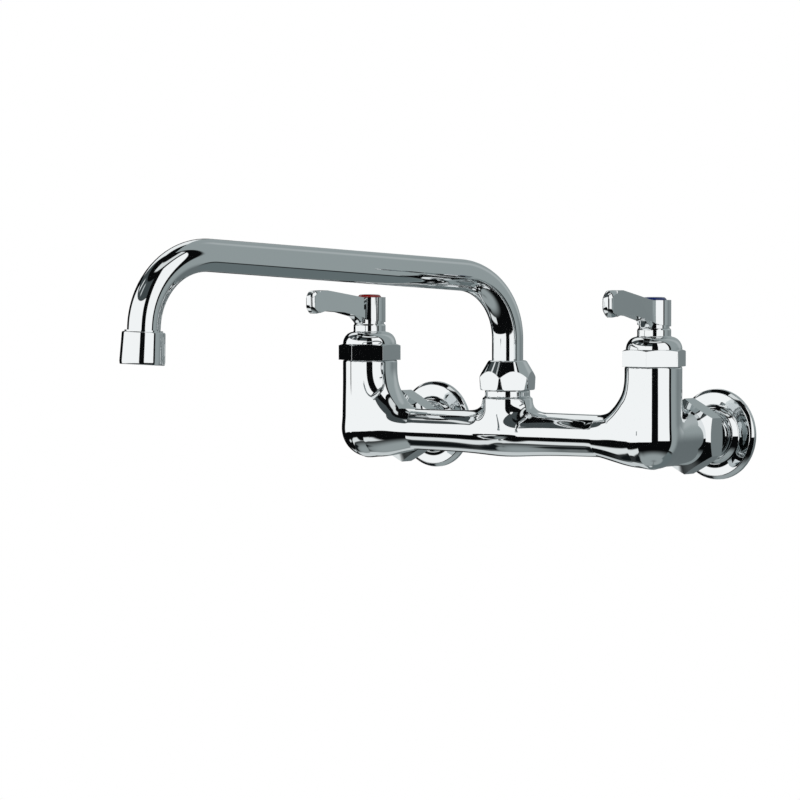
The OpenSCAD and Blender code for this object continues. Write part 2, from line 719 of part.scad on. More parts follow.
module spout_nut() {
    corner_r = spout_nut_af / 2 / cos(30);
    color(bright) translate([0, -wall_to_valve, ring_top]) difference() {
        intersection() {
            rotate([0, 0, spout_nut_turn]) hex_bar(spout_nut_af, spout_nut_h);
            rotate_extrude() polygon([[0, 0], [corner_r - edge_r, 0], [corner_r, edge_r],
                [corner_r, spout_nut_hex_h], [spout_nut_top_d / 2 + edge_r, spout_nut_h - edge_r],
                [spout_nut_top_d / 2, spout_nut_h], [0, spout_nut_h]]);
        }
        translate([0, 0, -overrun])
            cylinder(d = spout_thread_d + 2 * seat_gap, h = nut_ceiling - ring_top + overrun);
        cylinder(d = tube_d + 2 * loose_gap, h = spout_nut_h + overrun);
    }
}

module spout_glide_washer() {
    color(plastic) translate([0, -wall_to_valve, boss_top])
        ring(spout_thread_d - 2 * seat_gap, spout_socket_d + 2 * seat_gap, glide_washer_t);
}

module spout_glide_ring() {
    color(plastic) translate([0, -wall_to_valve, ferrule_flange_top])
        ring(spout_thread_d - 2 * seat_gap, tube_d + 2 * loose_gap, glide_ring_t);
}

ferrule_d = spout_socket_d - 2 * run_gap;
ferrule_ring_floor = spout_socket_d - 2 * ferrule_ring_d;
ferrule_ring_levels = [ferrule_foot + ferrule_ring_d * 1.6, ferrule_foot + ferrule_ring_d * 4.4];

module spout_ferrule() {
    groove_h = ferrule_ring_d + 2 * clip_gap;
    color(brass) translate([0, -wall_to_valve, 0]) difference() {
        union() {
            translate([0, 0, ferrule_foot]) cylinder(d = ferrule_d, h = ferrule_flange_top - ferrule_foot);
            translate([0, 0, ferrule_flange_bottom]) cylinder(d = ferrule_flange_d, h = ferrule_flange_t);
        }
        translate([0, 0, ferrule_foot - overrun])
            cylinder(d = tube_d - 2 * tube_wall, h = ferrule_flange_top - ferrule_foot + 2 * overrun);
        translate([0, 0, tube_foot]) cylinder(d = tube_d + 2 * seat_gap, h = tube_seat_depth + overrun);
        for (z = ferrule_ring_levels) translate([0, 0, z - groove_h / 2])
            ring(2 * ferrule_d, ferrule_ring_floor, groove_h);
    }
}

module spout_o_rings() {
    color(rubber) translate([0, -wall_to_valve, 0]) for (z = ferrule_ring_levels) translate([0, 0, z])
        o_ring(spout_socket_d - ferrule_ring_d, ferrule_ring_d - run_gap);
}

// The straight runs are a hair slimmer than the bends and enter them a little, so that they join cleanly
bend_step = 0.02;
bend_entry = 0.3;

// An arc that starts at the origin along local Z and bends towards local X
module bend(r, angle, d) {
    translate([r, 0, 0]) rotate([90, 0, 0]) rotate([0, 0, 180 - angle])
        rotate_extrude(angle = angle) translate([r, 0]) circle(d = d);
}

module after_bend(r, angle) {
    translate([r, 0, 0]) rotate([0, angle, 0]) translate([-r, 0, 0]) children();
}

// The whole spout's line as a solid rod, with a little extra at both ends where it cuts
module spout_rod(d, extra) {
    straight_d = d - bend_step;
    translate([0, 0, tube_foot - extra])
        cylinder(d = straight_d, h = first_arc_z - tube_foot + extra + bend_entry);
    translate([0, 0, first_arc_z]) {
        bend(riser_bend_r, 90 - tube_climb, d);
        after_bend(riser_bend_r, 90 - tube_climb) {
            translate([0, 0, -bend_entry]) cylinder(d = straight_d, h = straight_l + 2 * bend_entry);
            translate([0, 0, straight_l]) {
                bend(outlet_bend_r, outlet_turn, d);
                after_bend(outlet_bend_r, outlet_turn) translate([0, 0, -bend_entry])
                    cylinder(d = straight_d, h = tube_leg_l + extra + bend_entry);
            }
        }
    }
}

module spout_tube() {
    color(bright) at_spout() difference() {
        spout_rod(tube_d, 0);
        spout_rod(tube_d - 2 * tube_wall, overrun);
    }
}

module outlet_adapter() {
    color(bright) at_outlet() translate([0, 0, adapter_bottom])
        ring(housing_bore_d - 2 * seat_gap, tube_d + 2 * seat_gap, housing_h - adapter_bottom + adapter_show);
}

module aerator_housing() {
    color(bright) at_outlet() difference() {
        rotate_extrude() polygon([[0, 0], [housing_mouth_d / 2 - edge_r, 0], [housing_mouth_d / 2, edge_r],
            [housing_top_d / 2, housing_h - edge_r], [housing_top_d / 2 - edge_r, housing_h],
            [0, housing_h]]);
        translate([0, 0, mouth_lip_t]) cylinder(d = housing_bore_d, h = housing_h);
        translate([0, 0, -overrun]) cylinder(d = mouth_d, h = housing_h);
    }
}

module aerator_screen() {
    screen_d = housing_bore_d - 2 * seat_gap;
    pitch = mouth_d / 2 / (screen_rings + 1);
    hole_d = pitch * 0.6;
    color("silver") at_outlet() translate([0, 0, screen_bottom]) difference() {
        cylinder(d = screen_d, h = screen_t);
        translate([0, 0, -overrun]) cylinder(d = hole_d, h = screen_t + 2 * overrun);
        for (r = [1:screen_rings], k = [0:6 * r - 1]) rotate([0, 0, 60 * k / r])
            translate([r * pitch, 0, -overrun]) cylinder(d = hole_d, h = screen_t + 2 * overrun);
    }
}

module aerator_insert() {
    outer_d = housing_bore_d - 2 * seat_gap;
    inner_d = mouth_d - 2 * edge_r;
    plate_t = insert_h / 4;
    jet_d = inner_d / 12;
    jets = 10;
    color(plastic) at_outlet() translate([0, 0, insert_bottom]) difference() {
        cylinder(d = outer_d, h = insert_h);
        translate([0, 0, -overrun]) cylinder(d = inner_d, h = insert_h - plate_t + overrun);
        for (k = [1:jets]) rotate([0, 0, 360 * k / jets])
            translate([inner_d / 3, 0, 0]) cylinder(d = jet_d, h = insert_h + overrun);
    }
}

module aerator_washer() {
    color(rubber) at_outlet() translate([0, 0, washer_bottom])
        ring(housing_bore_d - 2 * seat_gap, tube_d - 2 * tube_wall, aerator_washer_t);
}

faucet_body();
inlet_shank(hot);  // hot_inlet_shank
inlet_shank(cold);  // cold_inlet_shank
coupling_nut(hot);  // hot_coupling_nut
coupling_nut(cold);  // cold_coupling_nut
union_washer(hot);  // hot_union_washer
union_washer(cold);  // cold_union_washer
wall_flange(hot);  // hot_wall_flange
wall_flange(cold);  // cold_wall_flange
bonnet_nut(hot);  // hot_bonnet_nut
bonnet_nut(cold);  // cold_bonnet_nut
cartridge_housing(hot);  // hot_cartridge_housing
cartridge_housing(cold);  // cold_cartridge_housing
seat_gasket(hot);  // hot_seat_gasket
seat_gasket(cold);  // cold_seat_gasket
fixed_disc(hot);  // hot_fixed_disc
fixed_disc(cold);  // cold_fixed_disc
turning_disc(hot);  // hot_turning_disc
turning_disc(cold);  // cold_turning_disc
thrust_washer(hot);  // hot_thrust_washer
thrust_washer(cold);  // cold_thrust_washer
valve_stem(hot);  // hot_valve_stem
valve_stem(cold);  // cold_valve_stem
stem_o_rings(hot);  // hot_stem_o_rings
stem_o_rings(cold);  // cold_stem_o_rings
stem_clip(hot);  // hot_stem_clip
stem_clip(cold);  // cold_stem_clip
lever_handle(hot);  // hot_lever_handle
lever_handle(cold);  // cold_lever_handle
handle_screw(hot);  // hot_handle_screw
handle_screw(cold);  // cold_handle_screw
index_button(hot);  // hot_index_button
index_button(cold);  // cold_index_button
spout_nut();
spout_glide_washer();
spout_glide_ring();
spout_tube();
spout_ferrule();
spout_o_rings();
outlet_adapter();
aerator_housing();
aerator_insert();
aerator_screen();
aerator_washer();
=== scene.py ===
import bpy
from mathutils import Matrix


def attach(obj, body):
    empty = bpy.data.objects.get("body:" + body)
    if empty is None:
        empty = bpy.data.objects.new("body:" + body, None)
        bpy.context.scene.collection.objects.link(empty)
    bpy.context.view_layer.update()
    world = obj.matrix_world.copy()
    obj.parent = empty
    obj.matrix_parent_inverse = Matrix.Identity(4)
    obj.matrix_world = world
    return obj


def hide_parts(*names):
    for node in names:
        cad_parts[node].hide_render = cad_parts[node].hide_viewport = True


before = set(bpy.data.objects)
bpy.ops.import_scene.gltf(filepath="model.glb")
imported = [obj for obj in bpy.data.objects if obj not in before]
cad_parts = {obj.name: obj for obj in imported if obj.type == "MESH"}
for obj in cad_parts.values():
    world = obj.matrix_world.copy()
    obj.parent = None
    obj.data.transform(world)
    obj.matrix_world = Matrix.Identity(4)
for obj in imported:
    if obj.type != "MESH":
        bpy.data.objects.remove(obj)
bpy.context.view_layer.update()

import math
import bpy
import numpy as np
from mathutils import Matrix, Vector

mm = 0.001  # sizes of pieces are in mm; camera, lamps and floor are in metres
valveX = 101.6  # from the middle to each valve
valveY = -66.0  # from the wall to the valves and the spout
sides = {"hot": -1, "cold": 1}
toWall = Matrix.Rotation(math.radians(90), 4, "X")  # turns a piece's Z from the wall to the user
smoothLimit = 35  # edges sharper than this stay sharp, in degrees
print("CAD frame loaded")


def deselectAll():
    if bpy.context.object and bpy.context.object.mode != "OBJECT":
        bpy.ops.object.mode_set(mode="OBJECT")
    bpy.ops.object.select_all(action="DESELECT")


def pick(piece):
    deselectAll()
    piece.select_set(True)
    bpy.context.view_layer.objects.active = piece


def hexColour(code):
    # an sRGB hex value turned to linear
    parts = [int(code[i:i + 2], 16) / 255 for i in (1, 3, 5)]
    return [c / 12.92 if c <= 0.04045 else ((c + 0.055) / 1.055) ** 2.4 for c in parts] + [1.0]


def addNode(tree, kind, settings=None, inputs=None):
    node = tree.nodes.new(kind)
    for name, value in (settings or {}).items():
        setattr(node, name, value)
    for socket, value in (inputs or {}).items():
        if isinstance(value, bpy.types.NodeSocket):
            tree.links.new(value, node.inputs[socket])
        else:
            node.inputs[socket].default_value = value
    return node


def newFinish(name, colour, metallic, roughness):
    finish = bpy.data.materials.new(name)
    finish.use_nodes = True
    shader = finish.node_tree.nodes["Principled BSDF"]
    shader.inputs["Base Color"].default_value = hexColour(colour)
    shader.inputs["Metallic"].default_value = metallic
    shader.inputs["Roughness"].default_value = roughness
    return finish, finish.node_tree, shader


# the camera stands where the photograph was taken from
cameraSetup = {"place": (1.2299, -1.7409, 0.104), "pitch": 2.34, "yaw": 38.0, "lens": 162.2,
               "film": 36, "farthest": 50}
deselectAll()
bpy.ops.object.camera_add(location=cameraSetup["place"], rotation=(
    math.radians(90 - cameraSetup["pitch"]), 0, math.radians(cameraSetup["yaw"])))
camera = bpy.context.object
camera.name = "photoCamera"
camera.data.lens = cameraSetup["lens"]
camera.data.sensor_width = cameraSetup["film"]
camera.data.clip_end = cameraSetup["farthest"]
bpy.context.scene.camera = camera
bpy.context.scene.view_settings.view_transform = "Standard"
print("camera set")

# the studio is white for the camera; polished metal sees softboxes, grey walls and dark gaps
world = bpy.data.worlds.new("studioWorld")
bpy.context.scene.world = world
world.use_nodes = True
studio = {
    "facing": 38.0,  # the way the softboxes are turned, degrees
    "base": "#0A0B0C",
    "ambient": "#F2F3F3",
    # each panel: azimuth from and to, height from and to, soft edge, all in degrees;
    # then its colour and its strength
    "panels": [
        ("floorFar", -181, 181, -91, -52, 26, "#9DA5A6", 1.0),
        ("floorDark", -140, -96, -55, -45, 4, "#14181A", 1.0),
        ("lowBandLeft", -116, -68, -42, -29, 4, "#EEF1F1", 1.0),
        ("backLow", -181, -150, -56, -30, 6, "#D3D8D9", 1.0),
        ("rightWall", 70, 181, -36, 91, 2, "#9CA5A6", 1.0),
        ("rightWallLow", 98, 181, -60, 1, 26, "#6C7476", 1.0),
        ("rightUnder", 70, 181, -66, -41, 6, "#6A7577", 1.0),
        ("rightGlow", 118, 142, 2, 60, 14, "#B2B9BA", 1.0),
        ("frontRightBox", 12.6, 60, -6, 55, 1, "#FFFFFF", 1.1),
        ("frontLeftBox", -122, -12.6, -10.5, 29, 1, "#FFFFFF", 1.1),
        ("leftHigh", -134, -12.6, 29.5, 50, 2, "#454C4E", 1.0),
        ("leftHighGlow", -101, -93, 33, 44, 4, "#F2F4F4", 1.0),
        ("leftHighGlowTwo", -70, -62, 34, 46, 4, "#D5D9DA", 1.0),
        ("backHigh", -181, -136, 28, 62, 4, "#F6F8F8", 1.05),
        ("overheadStrip", -60, 60, 62, 74, 3, "#E8EBEB", 1.0),
    ],
}


def buildStudio():
    s = studio
    tree = world.node_tree
    tree.nodes.clear()
    direction = addNode(tree, "ShaderNodeTexCoord").outputs["Generated"]
    turn = math.radians(s["facing"])
    axes = [(math.cos(turn), math.sin(turn), 0), (math.sin(turn), -math.cos(turn), 0), (0, 0, 1)]
    # how far the ray points to the right, to the front and up, then its two angles
    across, ahead, up = [
        addNode(tree, "ShaderNodeVectorMath", {"operation": "DOT_PRODUCT"},
                {0: direction, 1: axis}).outputs["Value"]
        for axis in axes]
    azimuth = addNode(tree, "ShaderNodeMath", {"operation": "ARCTAN2"}, {0: across, 1: ahead})
    height = addNode(tree, "ShaderNodeMath", {"operation": "ARCSINE"}, {0: up})
    colour = addNode(tree, "ShaderNodeRGB").outputs[0]
    colour.default_value = hexColour(s["base"])
    for name, start, end, low, high, soft, code, strength in s["panels"]:
        # each ramp is 0 below its angle and 1 above it, over the soft edge
        fromStart, fromEnd, fromLow, fromHigh = [
            addNode(tree, "ShaderNodeMapRange", {"interpolation_type": "SMOOTHSTEP"}, {
                "Value": angle.outputs[0], "From Min": math.radians(at - soft / 2),
                "From Max": math.radians(at + soft / 2)}).outputs[0]
            for angle, at in ((azimuth, start), (azimuth, end), (height, low), (height, high))]
        wide = addNode(tree, "ShaderNodeMath", {"operation": "SUBTRACT"},
                       {0: fromStart, 1: fromEnd})
        tall = addNode(tree, "ShaderNodeMath", {"operation": "SUBTRACT"},
                       {0: fromLow, 1: fromHigh})
        mask = addNode(tree, "ShaderNodeMath", {"operation": "MULTIPLY", "use_clamp": True},
                       {0: wide.outputs[0], 1: tall.outputs[0]})
        mask.label = name
        shade = [c * strength for c in hexColour(code)[:3]] + [1]
        mix = addNode(tree, "ShaderNodeMix", {"data_type": "RGBA"},
                      {"Factor": mask.outputs[0], "A": colour, "B": shade})
        colour = mix.outputs["Result"]
    path = addNode(tree, "ShaderNodeLightPath")
    lit = addNode(tree, "ShaderNodeMix", {"data_type": "RGBA"}, {
        "Factor": path.outputs["Is Glossy Ray"], "A": hexColour(s["ambient"]), "B": colour})
    shown = addNode(tree, "ShaderNodeMix", {"data_type": "RGBA"}, {
        "Factor": path.outputs["Is Camera Ray"], "A": lit.outputs["Result"], "B": (1, 1, 1, 1)})
    background = addNode(tree, "ShaderNodeBackground", None, {"Color": shown.outputs["Result"]})
    addNode(tree, "ShaderNodeOutputWorld", None, {"Surface": background.outputs[0]})


buildStudio()

# two soft lamps model the matt pieces and lay the shadow on the floor;
# polished metal doesn't see them
lampTarget = (0, -0.08, 0.02)
lamps = [
    {"name": "keyLamp", "place": (0.9, -1.2, 1.6), "size": 1.4, "power": 9},
    {"name": "fillLamp", "place": (-1.4, -0.9, 1.2), "size": 1.6, "power": 4},
]
for lamp in lamps:
    deselectAll()
    bpy.ops.object.light_add(type="AREA", location=lamp["place"])
    light = bpy.context.object
    light.name = lamp["name"]
    light.data.size = lamp["size"]
    light.data.energy = lamp["power"]
    aim = Vector(lampTarget) - Vector(lamp["place"])
    light.rotation_euler = aim.to_track_quat("-Z", "Y").to_euler()
    light.visible_glossy = False

paperFloor = {"radius": 0.6, "middle": (0, -0.12, -0.36), "colour": "#F1F1F0", "roughness": 0.9,
              "fadeFrom": 0.12, "fadeTo": 0.56}


def buildFloor():
    s = paperFloor
    deselectAll()
    bpy.ops.mesh.primitive_circle_add(vertices=128, radius=s["radius"], fill_type="NGON",
                                      location=s["middle"])
    floor = bpy.context.object
    floor.name = "paleFloor"
    floor.visible_glossy = False
    finish, tree, paper = newFinish("matt paper floor", s["colour"], 0.0, s["roughness"])
    # the paper runs out into the white of the room, so its edge doesn't show
    middle = addNode(tree, "ShaderNodeTexCoord").outputs["Object"]
    distance = addNode(tree, "ShaderNodeVectorMath", {"operation": "LENGTH"}, {0: middle})
    fade = addNode(tree, "ShaderNodeMapRange", {"interpolation_type": "SMOOTHSTEP"}, {
        "Value": distance.outputs["Value"], "From Min": s["fadeFrom"], "From Max": s["fadeTo"]})
    toCamera = addNode(tree, "ShaderNodeLightPath").outputs["Is Camera Ray"]
    share = addNode(tree, "ShaderNodeMath", {"operation": "MULTIPLY"},
                    {0: fade.outputs[0], 1: toCamera})
    roomWhite = addNode(tree, "ShaderNodeEmission")
    runOut = addNode(tree, "ShaderNodeMixShader", None,
                     {0: share.outputs[0], 1: paper.outputs[0], 2: roomWhite.outputs[0]})
    tree.links.new(runOut.outputs[0], tree.nodes["Material Output"].inputs["Surface"])
    floor.data.materials.append(finish)


buildFloor()
print("studio built")

chrome = {"colour": "#E6E9EA", "roughness": 0.03, "hazeSize": 14, "hazeFrom": 0.45, "hazeTo": 0.8,
          "clear": 0.02, "hazy": 0.075}


# bright chrome plate on polished brass: a mirror, with faint wiping haze and the slow ripple
# of hand polishing; sizes and depths in mm
def chromeFinish(name, rippleSize, rippleDepth):
    s = chrome
    finish, tree, shader = newFinish(name, s["colour"], 1.0, s["roughness"])
    spot = addNode(tree, "ShaderNodeTexCoord").outputs["Object"]
    haze = addNode(tree, "ShaderNodeTexNoise", None,
                   {"Vector": spot, "Scale": 1 / (s["hazeSize"] * mm), "Detail": 3.0})
    roughness = addNode(tree, "ShaderNodeMapRange", None, {
        "Value": haze.outputs["Fac"], "From Min": s["hazeFrom"], "From Max": s["hazeTo"],
        "To Min": s["clear"], "To Max": s["hazy"]})
    tree.links.new(roughness.outputs[0], shader.inputs["Roughness"])
    ripple = addNode(tree, "ShaderNodeTexNoise", None, {
        "Vector": spot, "Scale": 1 / (rippleSize * mm), "Detail": 1.0, "Roughness": 0.3})
    bump = addNode(tree, "ShaderNodeBump", None, {
        "Height": ripple.outputs["Fac"], "Strength": 1.0, "Distance": rippleDepth * mm})
    tree.links.new(bump.outputs[0], shader.inputs["Normal"])
    return finish


castChrome = chromeFinish("polished chrome on cast brass", 18, 0.10)
turnedChrome = chromeFinish("polished chrome on turned brass", 20, 0.02)
drawnChrome = chromeFinish("polished chrome on drawn tube", 26, 0.05)
print("chrome made")

mergeWithin = 0.01  # points closer than this become one, in mm


def spunRing(name, section, steps=96):
    # a turned piece: its closed section, laid on a circle's points, is spun round
    deselectAll()
    bpy.ops.mesh.primitive_circle_add(vertices=len(section), radius=10 * mm)
    ring = bpy.context.object
    ring.name = name
    for vertex, (r, z) in zip(ring.data.vertices, section):
        vertex.co = (r * mm, 0, z * mm)
    bpy.ops.object.mode_set(mode="EDIT")
    bpy.ops.mesh.select_all(action="SELECT")
    bpy.ops.mesh.spin(steps=steps, angle=2 * math.pi, center=(0, 0, 0), axis=(0, 0, 1))
    bpy.ops.mesh.select_all(action="SELECT")
    bpy.ops.mesh.remove_doubles(threshold=mergeWithin * mm)
    bpy.ops.mesh.normals_make_consistent(inside=False)
    bpy.ops.object.mode_set(mode="OBJECT")
    return ring


def prism(name, outline, low, high, upright=True):
    # an outline in plan (upright) or in side view (X across, Z up), given its thickness
    deselectAll()
    bpy.ops.mesh.primitive_circle_add(vertices=len(outline), radius=10 * mm)
    block = bpy.context.object
    block.name = name
    for vertex, (a, b) in zip(block.data.vertices, outline):
        vertex.co = (a * mm, b * mm, low * mm) if upright else (a * mm, low * mm, b * mm)
    bpy.ops.object.mode_set(mode="EDIT")
    bpy.ops.mesh.select_all(action="SELECT")
    bpy.ops.mesh.edge_face_add()
    rise = (high - low) * mm
    bpy.ops.mesh.extrude_region_move(
        TRANSFORM_OT_translate={"value": (0, 0, rise) if upright else (0, rise, 0)})
    bpy.ops.mesh.select_all(action="SELECT")
    bpy.ops.mesh.normals_make_consistent(inside=False)
    bpy.ops.object.mode_set(mode="OBJECT")
    return block


def cornerRadius(flats):
    # from a hexagon's middle to its corners
    return flats / 2 / math.cos(math.pi / 6)


def hexPrism(flats, low, high):
    deselectAll()
    bpy.ops.mesh.primitive_cylinder_add(
        vertices=6, radius=cornerRadius(flats) * mm, depth=(high - low) * mm,
        location=(0, 0, (low + high) / 2 * mm), rotation=(0, 0, math.radians(30)))
    block = bpy.context.object
    bpy.ops.object.transform_apply(location=True, rotation=True, scale=True)
    return block


def arc(cx, cy, r, start, end, steps):
    turns = [math.radians(start + (end - start) * i / steps) for i in range(steps + 1)]
    return [(cx + r * math.cos(turn), cy + r * math.sin(turn)) for turn in turns]


def combine(piece, other, how):
    pick(piece)
    cut = piece.modifiers.new("combine", "BOOLEAN")
    cut.operation = how
    cut.solver = "EXACT"
    cut.object = other
    bpy.ops.object.modifier_apply(modifier=cut.name)
    bpy.data.objects.remove(other)


def softenEdges(piece, width, segments, limit):
    # rounds every edge that turns by more than the limit, in degrees;
    # each dictionary's edge gives width, segments and limit
    pick(piece)
    bevel = piece.modifiers.new("soften", "BEVEL")
    bevel.width = width * mm
    bevel.segments = segments
    bevel.limit_method = "ANGLE"
    bevel.angle_limit = math.radians(limit)
    bpy.ops.object.modifier_apply(modifier=bevel.name)
    bpy.ops.object.shade_smooth_by_angle(angle=math.radians(smoothLimit))
    weigh = piece.modifiers.new("weigh", "WEIGHTED_NORMAL")
    weigh.keep_sharp = True
    bpy.ops.object.modifier_apply(modifier=weigh.name)


def place(piece, turn, at, tilt=None):
    # turn about Z, then tilt, then move; all of it goes into the mesh
    pick(piece)
    move = Matrix.Translation(Vector(at) * mm)
    if tilt is not None:
        move = move @ tilt
    piece.data.transform(move @ Matrix.Rotation(math.radians(turn), 4, "Z"))
    piece.data.update()


def dress(piece, finish, body, nodes):
    piece.data.materials.clear()
    piece.data.materials.append(finish)
    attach(piece, body)
    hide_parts(*nodes)


# cast body: the CAD casting remeshed finely and drawn onto one flowing surface; all in mm
casting = {
    # valve columns, with the elbow that closes each below
    "columnR": 15.8, "columnTop": 40.5, "topSpan": 30.0,
    "elbowMore": 0.35, "elbowRise": 30.0, "elbowTall": 1.05, "neckR": 13.4, "neckTop": 46.5,
    # crossbar, its swells under the spout and its shoulders at the elbows
    "barR": 10.0, "topSwell": 0.9, "topRun": 42.0, "underSwell": 2.7, "underRun": 23.0,
    "frontSwell": 4.6, "frontRun": 22.0,
    "shoulder": 6.6, "shoulderEnd": 40.0, "shoulderRun": 34.0, "shoulderFront": 0.88,
    # how far the fillet between column and crossbar reaches along each, and where it ends
    "elbowReach": 27.0, "barReach": 24.0, "barFade": 22.0,
    # the bend from column to crossbar
    "bendR": 36.0, "bendTaper": 3.2, "bendUpright": 0.5, "bendJoin": 9.0, "bendParallel": 0.7,
    # inlet bosses and their fillet up the back of the columns
    "bossR": 16.2, "bossEnd": -37.0, "threadR": 15.7, "threadEnd": -31.0,
    "inletReach": 13.0, "inletRise": 18.0, "backFrom": 6.0, "backRun": 12.0,
    # spout boss
    "spoutBossR": 14.5, "spoutBossTop": 20.7, "spoutBossFlat": 1.25,
    "bossFlare": 14.0, "bossRise": 14.0, "bossLevel": 0.5, "bossFade": 4.0,
    "ringR": 13.0, "ringTop": 25.0, "spoutThreadR": 12.3, "spoutThreadTop": 33.0,
    # waterways
    "chamberR": 11.0, "seat": 16.5, "throatR": 5.0, "boreR": 6.5, "barBore": 5.5,
    "feedFoot": (23.7, 0.0), "feedHead": (9.24, 26.0), "feedR": 3.6,
    "socketR": 10.4, "socketFloor": 8.5,
    # rounding of rims, ends, thread ends, mouths, and where two forms meet
    "rimRound": 1.2, "endRound": 1.0, "threadRound": 0.6, "mouthRound": 0.6, "seamRound": 0.8,
    # the net: its two mesh sizes, the most that a point moves in one step, the least slope that
    # it is divided by, and how far each point goes towards the middle of its neighbours
    "firstVoxel": 1.1, "voxel": 0.825, "stepMost": 0.8, "leastSlope": 0.2, "relax": 0.5,
}
tiny = 1e-6  # keeps a division clear of zero, in mm
tinyShare = 1e-9  # the same where shares are divided
leastShare = 0.1  # a fillet fades to this share of its reach, not further
wellInside = -9.0  # a distance far inside the metal


def smoothJoin(a, b, reach):
    h = np.maximum(reach - np.abs(a - b), 0) / reach
    return np.minimum(a, b) - h * h * reach / 4


def smoothCut(a, b, reach):
    return -smoothJoin(-a, -b, reach)


def fillet(a, b, reachA, reachB, along):
    # joins two surfaces by a fillet that reaches so far along each;
    # it fades where they run parallel
    share = np.clip(1 - along, leastShare, 1)
    scaleA, scaleB = reachA * share, reachB * share
    h = np.maximum(1 - np.abs(a / scaleA - b / scaleB), 0)
    value = np.minimum(a / scaleA, b / scaleB) - h * h / 4
    weight = np.where(a / scaleA < b / scaleB, h / 2, 1 - h / 2)
    pa, pb = (1 - weight) / scaleA, weight / scaleB
    return value / np.sqrt(pa * pa + pb * pb + 2 * pa * pb * np.clip(along, 0, 1))


def rise01(value):
    t = np.clip(value, 0, 1)
    return t * t * (3 - 2 * t)


def bell(x, run):
    return np.exp(-(x / run) ** 2)


def barSurface(x, y, z):
    # oval crossbar: fuller under the spout, with a shoulder where it meets each elbow
    s = casting
    fromValve = np.abs(valveX - np.abs(x))
    shoulder = s["shoulder"] * rise01((s["shoulderEnd"] - fromValve) / s["shoulderRun"])
    top = s["barR"] + s["topSwell"] * bell(x, s["topRun"])
    under = s["barR"] + s["underSwell"] * bell(x, s["underRun"]) + shoulder
    front = s["barR"] + s["frontSwell"] * bell(x, s["frontRun"]) + shoulder * s["shoulderFront"]
    half = np.where(z > 0, top, under)
    # an oval's distance: its value over its slope
    value = np.sqrt((y / front) ** 2 + (z / half) ** 2) + tinyShare
    slope = np.sqrt((y / front ** 2) ** 2 + (z / half ** 2) ** 2) + tinyShare
    return value * (value - 1) / slope


def sweepSurface(ax, y, z):
    # the column bends over into the crossbar as one tapering round form;
    # also gives the direction in which its surface faces
    s = casting
    u, w = ax + s["bendR"], s["bendR"] - z
    q = np.hypot(u, w) + tiny
    inPlane = np.where(w < 0, ax, np.where(u < 0, -z, q - s["bendR"]))
    outX = np.where(w < 0, 1.0, np.where(u < 0, 0.0, u / q))
    outZ = np.where(w < 0, 0.0, np.where(u < 0, -1.0, -w / q))
    turned = np.arctan2(np.maximum(w, 0), np.maximum(u, 0) + tiny) / (math.pi / 2)
    radius = s["columnR"] - (s["columnR"] - s["barR"]) * turned ** s["bendTaper"]
    # its flanks stand nearly upright where they meet the elbow
    lean = s["bendUpright"] * np.sin(turned * math.pi) ** 2
    upright = np.where(inPlane > 0, 1 - lean, 1.0)
    deep = inPlane * upright
    reach = np.hypot(deep, y) + tiny
    size = np.hypot(deep * upright, y) + tiny
    facing = deep * upright / size
    return (reach - radius) * reach / size, outX * facing, y / size, outZ * facing


